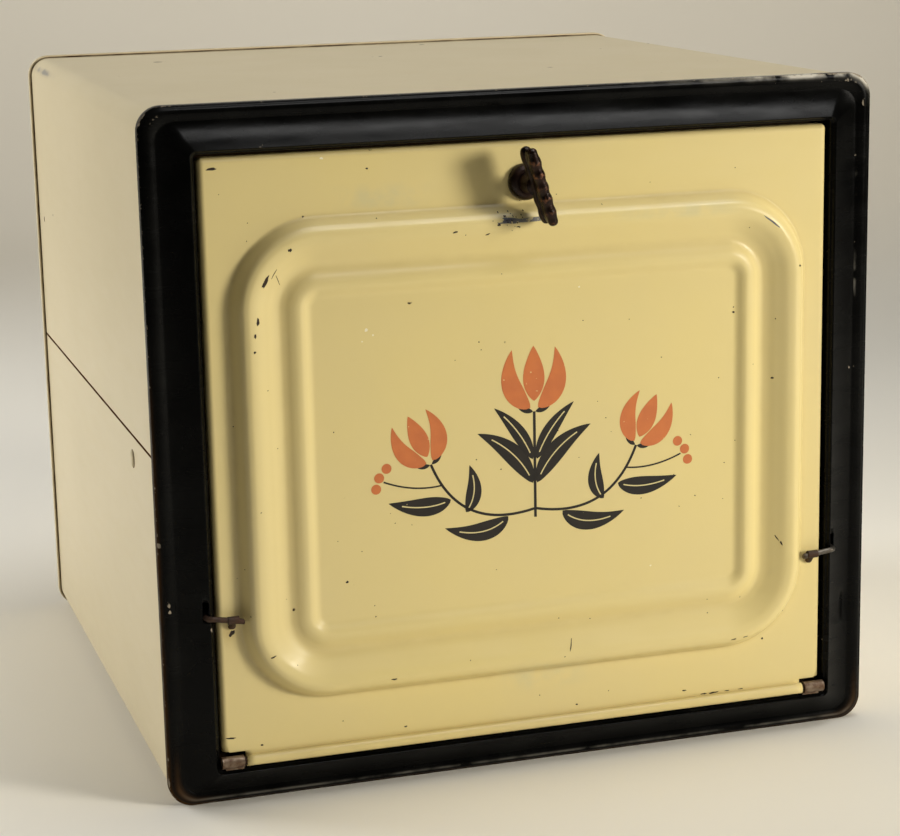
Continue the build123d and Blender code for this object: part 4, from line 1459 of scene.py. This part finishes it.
@dataclass
class Knob:
    """The turning knob: a domed rosette on the door, a waisted neck and a wing that is edged by a plain lobe
    at the back and a beaded one in front."""

    tilt: float = 17.0
    length: float = 35.5
    standoff: float = 14.4
    lobe_gap: float = 8.3
    back_radius: float = 2.8
    bead_radius: float = 2.78
    beads: int = 6
    web: float = 1.9
    rosette_radius: float = 8.2
    rosette_height: float = 4.4
    rosette_top: float = 4.9
    rosette_rim: float = 0.8
    bore: float = 2.55
    neck_radius: float = 3.9
    neck_flare: float = 0.7
    neck_gap: float = 0.3

    def bar(self, standoff: float, radius: np.ndarray, along: np.ndarray, stretch: float = 1.0) -> np.ndarray:
        """A bar of varying radius along the tilted line of the knob.

        Args:
            standoff: its distance from the door's face.
            radius: its radius at each point.
            along: places of those points along the line.
            stretch: how much deeper it is away from the door than across.

        Returns:
            The points of the bar.
        """
        lean = math.radians(self.tilt)
        line = np.array([-math.sin(lean), 0, math.cos(lean)])
        path = np.array([0, DOOR_Y - standoff, KNOB_Z]) + along[:, None] * line
        return tube(path, np.array([0, -1.0, 0]), radius, 28, stretch)

    def build_rosette(self, finishes: Finishes) -> None:
        """Turns the rosette: a rim, then a dome r = top + (rim - top) cos a, h = rim + (height - rim) sin a.

        Args:
            finishes: the finishes by name.
        """
        r, h, rim, top = self.rosette_radius, self.rosette_height, self.rosette_rim, self.rosette_top
        swell = np.linspace(0, np.pi / 2, 14)
        dome = columns(top + (r - top) * np.cos(swell), rim + (h - rim) * np.sin(swell))
        foot = [[self.bore, 0.0], [r - 0.3, 0.0], [r, 0.25]]
        profile = np.concatenate([foot, dome, [[self.bore, h], [self.bore, 0.0]]])
        wear = np.interp(np.arange(len(profile)), [0, 2, 6, len(profile)], [0.3, 0.42, 0.2, 0.3])
        make_piece(
            "knob_rosette_dome",
            Patch.grid(turned(profile, (0, DOOR_Y, KNOB_Z), "y"), wear[:, None], closed=True),
            finishes["knob_brown"], "door", stands_for=("knob_rosette",),
        )

    def build(self, finishes: Finishes) -> None:
        """Builds the rosette, and the handle from its neck, wing and two lobes. Each bar ends in a dome, and
        the front lobe swells in a bead at each step of its length.

        Args:
            finishes: the finishes by name.
        """
        self.build_rosette(finishes)
        low, high = self.rosette_height + self.neck_gap, self.standoff + 1.0
        climb = np.linspace(low, high, 18)
        waist = self.neck_radius + self.neck_flare * np.abs(2 * (climb - low) / (high - low) - 1) ** 2.2
        neck = np.concatenate([[[0.0, low]], columns(waist, climb), [[0.0, high]]])
        share = -np.cos(np.linspace(0, np.pi, 110))
        along = self.length / 2 * share
        dome = np.sqrt(np.clip(1 - np.abs(share) ** 13, 0, 1))
        lump = 1 + 0.06 * np.cos(6.3 * share + 0.6) + 0.05 * np.cos(17 * share)
        bead = 0.5 + 0.5 * np.cos(np.pi * self.beads * share + 0.6 * np.sin(np.pi * share))
        back = self.back_radius * dome * np.minimum(lump, 1.04)
        front = self.bead_radius * dome * (0.85 + 0.15 * bead)
        gap = self.lobe_gap / 2
        wing = self.bar(self.standoff + gap, self.web * dome * lump, along * 0.96, gap / self.web)
        grids = (
            (turned(neck, (0, DOOR_Y, KNOB_Z), "y", 32), 0.2),
            (self.bar(self.standoff, back, along), 0.25),
            (wing, 0.1),
            (self.bar(self.standoff + self.lobe_gap, front, along), (0.2 + 0.3 * bead)[:, None]),
        )
        handle = Patch.joined([Patch.grid(points, wear, closed=True) for points, wear in grids])
        make_piece(
            "knob_handle_casting", handle, finishes["knob_brown"], "knob",
            shading=Shading.SMOOTH, stands_for=("knob_handle",),
        )


class Mark(Enum):
    """Kinds of small marks on the door, by the finish that shows in them."""

    CHIP = "chipped"
    SCUFF = "scuffed"
    SPATTER = "spatter"


@dataclass
class DoorMarks:
    """Chips, scratches, rub marks and spatter on the door, each a flake that follows the pressing."""

    door: Door
    lift: float = 0.04
    specks: int = 90
    rub_specks: int = 22
    speck_seed: int = 17
    speck_size: Pair = (0.3, 0.7)
    # Lower left and upper right corner of the field of specks
    speck_field: tuple[Pair, Pair] = ((-138.0, 30.0), (138.0, 284.0))
    # Middle and spread of the cluster of specks under the knob
    rub_place: Pair = (-11.0, 255.5)
    rub_spread: Pair = (4.5, 2.2)
    # Place across and up, length, width and slant in degrees
    marks: dict[Mark, tuple[tuple[float, float, float, float, float], ...]] = field(
        default_factory=lambda: {
            Mark.CHIP: (
                (-140, 284.5, 4.6, 1.1, 0), (-120, 236, 6.5, 1.6, 62), (-116, 239, 5, 0.4, 60),
                (-114, 236, 5, 0.35, -65), (-109, 249, 1.7, 1.5, 0), (-124, 219, 3.2, 1.4, 80),
                (-125.5, 213, 2.2, 0.9, 85), (-126, 206, 1.2, 1, 0), (130, 226, 1.2, 1, 0),
                (-35, 252, 2.2, 0.8, 10), (118, 174, 1.2, 1, 0), (99, 206, 1.2, 1, 0),
                (120.5, 97.5, 3.4, 0.5, -55), (122.4, 95, 2, 0.8, -70), (-87, 98, 1.3, 1.1, 0),
                (17, 57.5, 6, 0.5, 72), (98, 51, 3, 0.6, 5), (104, 51.5, 2.4, 0.5, 5), (-68, 52, 3, 0.7, 0),
                (-123, 69, 3, 0.7, 20), (-139.6, 79.6, 3.6, 1.8, 55), (-142, 31, 4.2, 0.8, -6),
                (-128, 26, 1.4, 0.8, 0), (-61, 26, 1.5, 0.7, 0), (22, 26, 1.2, 0.7, 0), (76, 26, 2, 0.7, 0),
                (126, 60, 1.1, 1, 0), (116, 47, 1, 1, 0), (-101, 262, 0.9, 0.9, 0), (-72, 281, 1, 0.9, 0),
                (86, 23.1, 3.2, 0.6, 2), (91, 23.1, 4.6, 0.8, 3), (98, 23.2, 2.2, 0.5, 0),
                (105, 23.2, 3, 0.4, 2), (-12, 257.5, 1.2, 0.9, 0), (-15, 254, 1.6, 1.1, 20),
                (-6, 252.6, 1.8, 0.6, 0), (-20, 250, 2.2, 0.6, 15),
            ),
            Mark.SCUFF: ((-2, 255.3, 26, 1.7, 1), (-9, 255.5, 10, 2.3, -6), (115.5, 247.3, 10, 0.8, -36)),
            Mark.SPATTER: (
                (-75, 211, 1.6, 1.3, 20), (-72, 208.5, 0.9, 0.8, 0), (-92, 286.5, 1.6, 0.9, 0),
                (-77, 206, 0.7, 0.7, 0), (24, 223, 0.8, 0.8, 0), (58, 90, 0.8, 0.8, 0),
            ),
        }
    )

    def flake(self, x: float, z: float, length: float, width: float, slant: float, seed: int) -> Patch:
        """A ragged oval: rings of points r = 1 + 0.11 (cos 2a + cos 3a + cos 5a), each with its own phase.

        Args:
            x: place across.
            z: place up.
            length: its length.
            width: its width.
            slant: turn of its length from level, in degrees.
            seed: seed of its outline.

        Returns:
            The flake on the door's surface.
        """
        turn = np.linspace(0, 2 * np.pi, 20, endpoint=False)
        phase = np.random.default_rng(seed).uniform(0, 2 * np.pi, 3)
        ragged = 1 + 0.11 * sum(np.cos(n * turn + p) for n, p in zip((2, 3, 5), phase))
        reach = np.linspace(0, 1, 5)[:, None] * ragged
        first, second = reach * np.cos(turn) * length / 2, reach * np.sin(turn) * width / 2
        lean = math.radians(slant)
        across = x + first * math.cos(lean) - second * math.sin(lean)
        up = z + first * math.sin(lean) + second * math.cos(lean)
        return Patch.grid(columns(across, self.door.surface_y(across, up, self.lift), up), closed=True)

    def build(self, finishes: Finishes) -> None:
        """Builds one piece for each kind of mark, with fine specks strewn among the chips.

        Args:
            finishes: the finishes by name.
        """
        draw = np.random.default_rng(self.speck_seed)
        at = draw.uniform(*self.speck_field, (self.specks, 2))
        size = draw.uniform(*self.speck_size, (self.specks, 2))
        at[: self.rub_specks] = draw.normal(self.rub_place, self.rub_spread, (self.rub_specks, 2))
        specks = np.concatenate([at, size, draw.uniform(0, 180, (self.specks, 1))], axis=1)
        for kind, places in self.marks.items():
            places = [*places, *specks] if kind is Mark.CHIP else places
            flakes = [self.flake(*place, seed) for seed, place in enumerate(places)]
            make_piece(
                f"door_{kind.name.lower()}_marks", Patch.joined(flakes), finishes[kind.value], "door",
                outward=(0, -1, 0), shading=Shading.SMOOTH,
            )


@dataclass
class PackedPieces:
    """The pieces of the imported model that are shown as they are, under the finish that they take."""

    nodes_in: dict[str, tuple[str, ...]] = field(
        default_factory=lambda: {
            "tinned": ("shelf", "shelf_ledge"),
            "strap_steel": ("hinge_strap_left", "hinge_strap_right", "hinge_strap_rivets"),
            "steel": ("knob_spindle", "latch_washer", "latch_spacer", "latch_tongue", "latch_nut"),
        }
    )

    def build(self, finishes: Finishes) -> None:
        """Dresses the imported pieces.

        Args:
            finishes: the finishes by name.
        """
        for finish, nodes in self.nodes_in.items():
            for node in nodes:
                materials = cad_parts[node].data.materials
                materials.clear()
                materials.append(finishes[finish])
                LOG.info("%s: %s", node, finish)


# Studio


class Reach(Enum):
    """What a lamp lights: everything, matt scattering alone, or shine alone."""

    ALL = (True, True)
    MATT = (True, False)
    SHINE = (False, True)


@dataclass
class Lamp:
    """A soft rectangular lamp that looks at the box, with its place and size in metres."""

    name: str
    place: Triple
    size: Pair
    watts: float
    colour: str
    aim: Triple = (0.0, 0.0, 0.15)
    spread: float = 180.0
    reach: Reach = Reach.ALL

    def build(self) -> None:
        """Adds the lamp to the scene."""
        light = bpy.data.lights.new(self.name, "AREA")
        light.shape = "RECTANGLE"
        light.size, light.size_y = self.size
        light.energy = self.watts
        light.spread = math.radians(self.spread)
        light.color = linear(self.colour)[:3]
        lamp = bpy.data.objects.new(self.name, light)
        lamp.visible_diffuse, lamp.visible_glossy = self.reach.value
        bpy.context.scene.collection.objects.link(lamp)
        back = np.array(self.place) - np.array(self.aim)
        back /= np.linalg.norm(back)
        side = np.cross([0, 0, 1], back)
        side /= np.linalg.norm(side)
        turn = Matrix(columns(side, np.cross(back, side), back).tolist()).to_4x4()
        lamp.matrix_world = Matrix.Translation(self.place) @ turn


@dataclass
class Studio:
    """A pale sweep under the box, soft lamps and the camera."""

    focal_pixels: float = 2385.94
    image_width: float = 900.0
    sensor: float = 36.0
    azimuth: float = 17.366
    elevation: float = 12.864
    roll: float = -1.192
    place: Triple = (-345.62, FRONT_Y - 991.53, 404.08)
    # Uncoated paper, rolled matt: an even warm white with faint broad clouds and no shine
    paper: str = "#f6f3ea"
    paper_shade: str = "#f2eee3"
    paper_roughness: float = 0.8
    cloud_mm: float = 400.0
    near: float = -4000.0
    level: float = 1500.0
    curve: float = 1000.0
    wall_top: float = 4000.0
    half_width: float = 5000.0
    ambient: str = "#c4c0b6"
    ambient_strength: float = 0.04
    # The key lamp gives the modelling, the spark its small lights and the glint the shine on the frame's top
    lamps: tuple[Lamp, ...] = (
        Lamp("key lamp", (1.07, -1.16, 0.47), (0.45, 0.45), 5.1, "#fff9ec", spread=110.0, reach=Reach.MATT),
        Lamp("spark lamp", (1.07, -1.16, 0.47), (0.25, 0.25), 2.6, "#fff9ec", spread=110.0),
        Lamp("left lamp", (-1.25, 1.0, 0.55), (0.9, 0.7), 7.2, "#fffefc", spread=100.0, reach=Reach.MATT),
        Lamp("top lamp", (0.3, -0.15, 1.8), (0.9, 0.9), 12.0, "#fffefc"),
        Lamp("glint lamp", (0.5, -0.95, 1.6), (1.0, 0.26), 10.5, "#fffefc", reach=Reach.SHINE),
        Lamp("wall lamp", (0.95, 1.0, 1.8), (2.8, 0.6), 11.8, "#fff6e6", aim=(0.95, 2.5, 0.7), spread=130.0),
    )

    def build_camera(self) -> None:
        """Places the camera from its angles: a view direction, then a roll about it."""
        az, el, roll = (math.radians(v) for v in (self.azimuth, self.elevation, self.roll))
        ahead = np.array([math.sin(az) * math.cos(el), math.cos(az) * math.cos(el), -math.sin(el)])
        level = np.array([math.cos(az), -math.sin(az), 0.0])
        up = np.cross(level, ahead)
        right = math.cos(roll) * level + math.sin(roll) * up
        top = -math.sin(roll) * level + math.cos(roll) * up
        lens = bpy.data.cameras.new("camera")
        lens.sensor_fit = "HORIZONTAL"
        lens.sensor_width = self.sensor
        lens.lens = self.sensor * self.focal_pixels / self.image_width
        lens.clip_end = 100.0
        camera = bpy.data.objects.new("camera", lens)
        bpy.context.scene.collection.objects.link(camera)
        turn = Matrix(columns(right, top, -ahead).tolist()).to_4x4()
        camera.matrix_world = Matrix.Translation(np.array(self.place) * MM) @ turn
        bpy.context.scene.camera = camera

    def build_sweep(self) -> None:
        """Lays the paper: level under the box, then a quarter circle up into a wall, carried across X."""
        bend = np.radians(np.linspace(0, 90, 16))
        rise = columns(self.level + self.curve * np.sin(bend), self.curve * (1 - np.cos(bend)))
        section = np.concatenate([[[self.near, 0.0]], rise, [[self.level + self.curve, self.wall_top]]])
        run = np.linspace(-self.half_width, self.half_width, 3)
        patch = Patch.grid(columns(run, section[:, :1], section[:, 1:]))
        mesh = bpy.data.meshes.new("paper sweep")
        mesh.from_pydata((patch.points * MM).tolist(), [], patch.faces.tolist())
        mesh.shade_smooth()
        material, tree, place = new_material("matte paper")
        cloud = mottle(tree, place, self.cloud_mm, detail=2.0)
        layers = {"Factor": cloud, 6: linear(self.paper), 7: linear(self.paper_shade)}
        tone = add_node(tree, "Mix", layers, data_type="RGBA").outputs[2]
        surface = {"Base Color": tone, "Roughness": self.paper_roughness}
        shader = add_node(tree, "BsdfPrincipled", surface)
        add_node(tree, "OutputMaterial", {"Surface": shader.outputs["BSDF"]})
        mesh.materials.append(material)
        sweep = bpy.data.objects.new("paper_sweep", mesh)
        bpy.context.scene.collection.objects.link(sweep)

    def build(self) -> None:
        """Builds the studio and sets the plain view transform."""
        self.build_camera()
        self.build_sweep()
        for lamp in self.lamps:
            lamp.build()
        world = bpy.data.worlds.new("soft room")
        world.use_nodes = True
        backdrop = world.node_tree.nodes["Background"]
        backdrop.inputs["Color"].default_value = linear(self.ambient)
        backdrop.inputs["Strength"].default_value = self.ambient_strength
        bpy.context.scene.world = world
        bpy.context.scene.view_settings.view_transform = "Standard"


def main() -> None:
    """Builds the bread box piece by piece, then its studio."""
    logging.basicConfig(level=logging.INFO, format="%(name)s: %(message)s")
    finishes = FinishSet().materials()
    door = Door()
    parts = (
        FrontFrame(), Body(), BackPanel(), door, PrintedSpray(door), DoorMarks(door), Hinge(), Stays(),
        Knob(), PackedPieces(),
    )
    for part in parts:
        LOG.info("building %s", type(part).__name__)
        part.build(finishes)
    Studio().build()


if __name__ == "__main__":
    main()
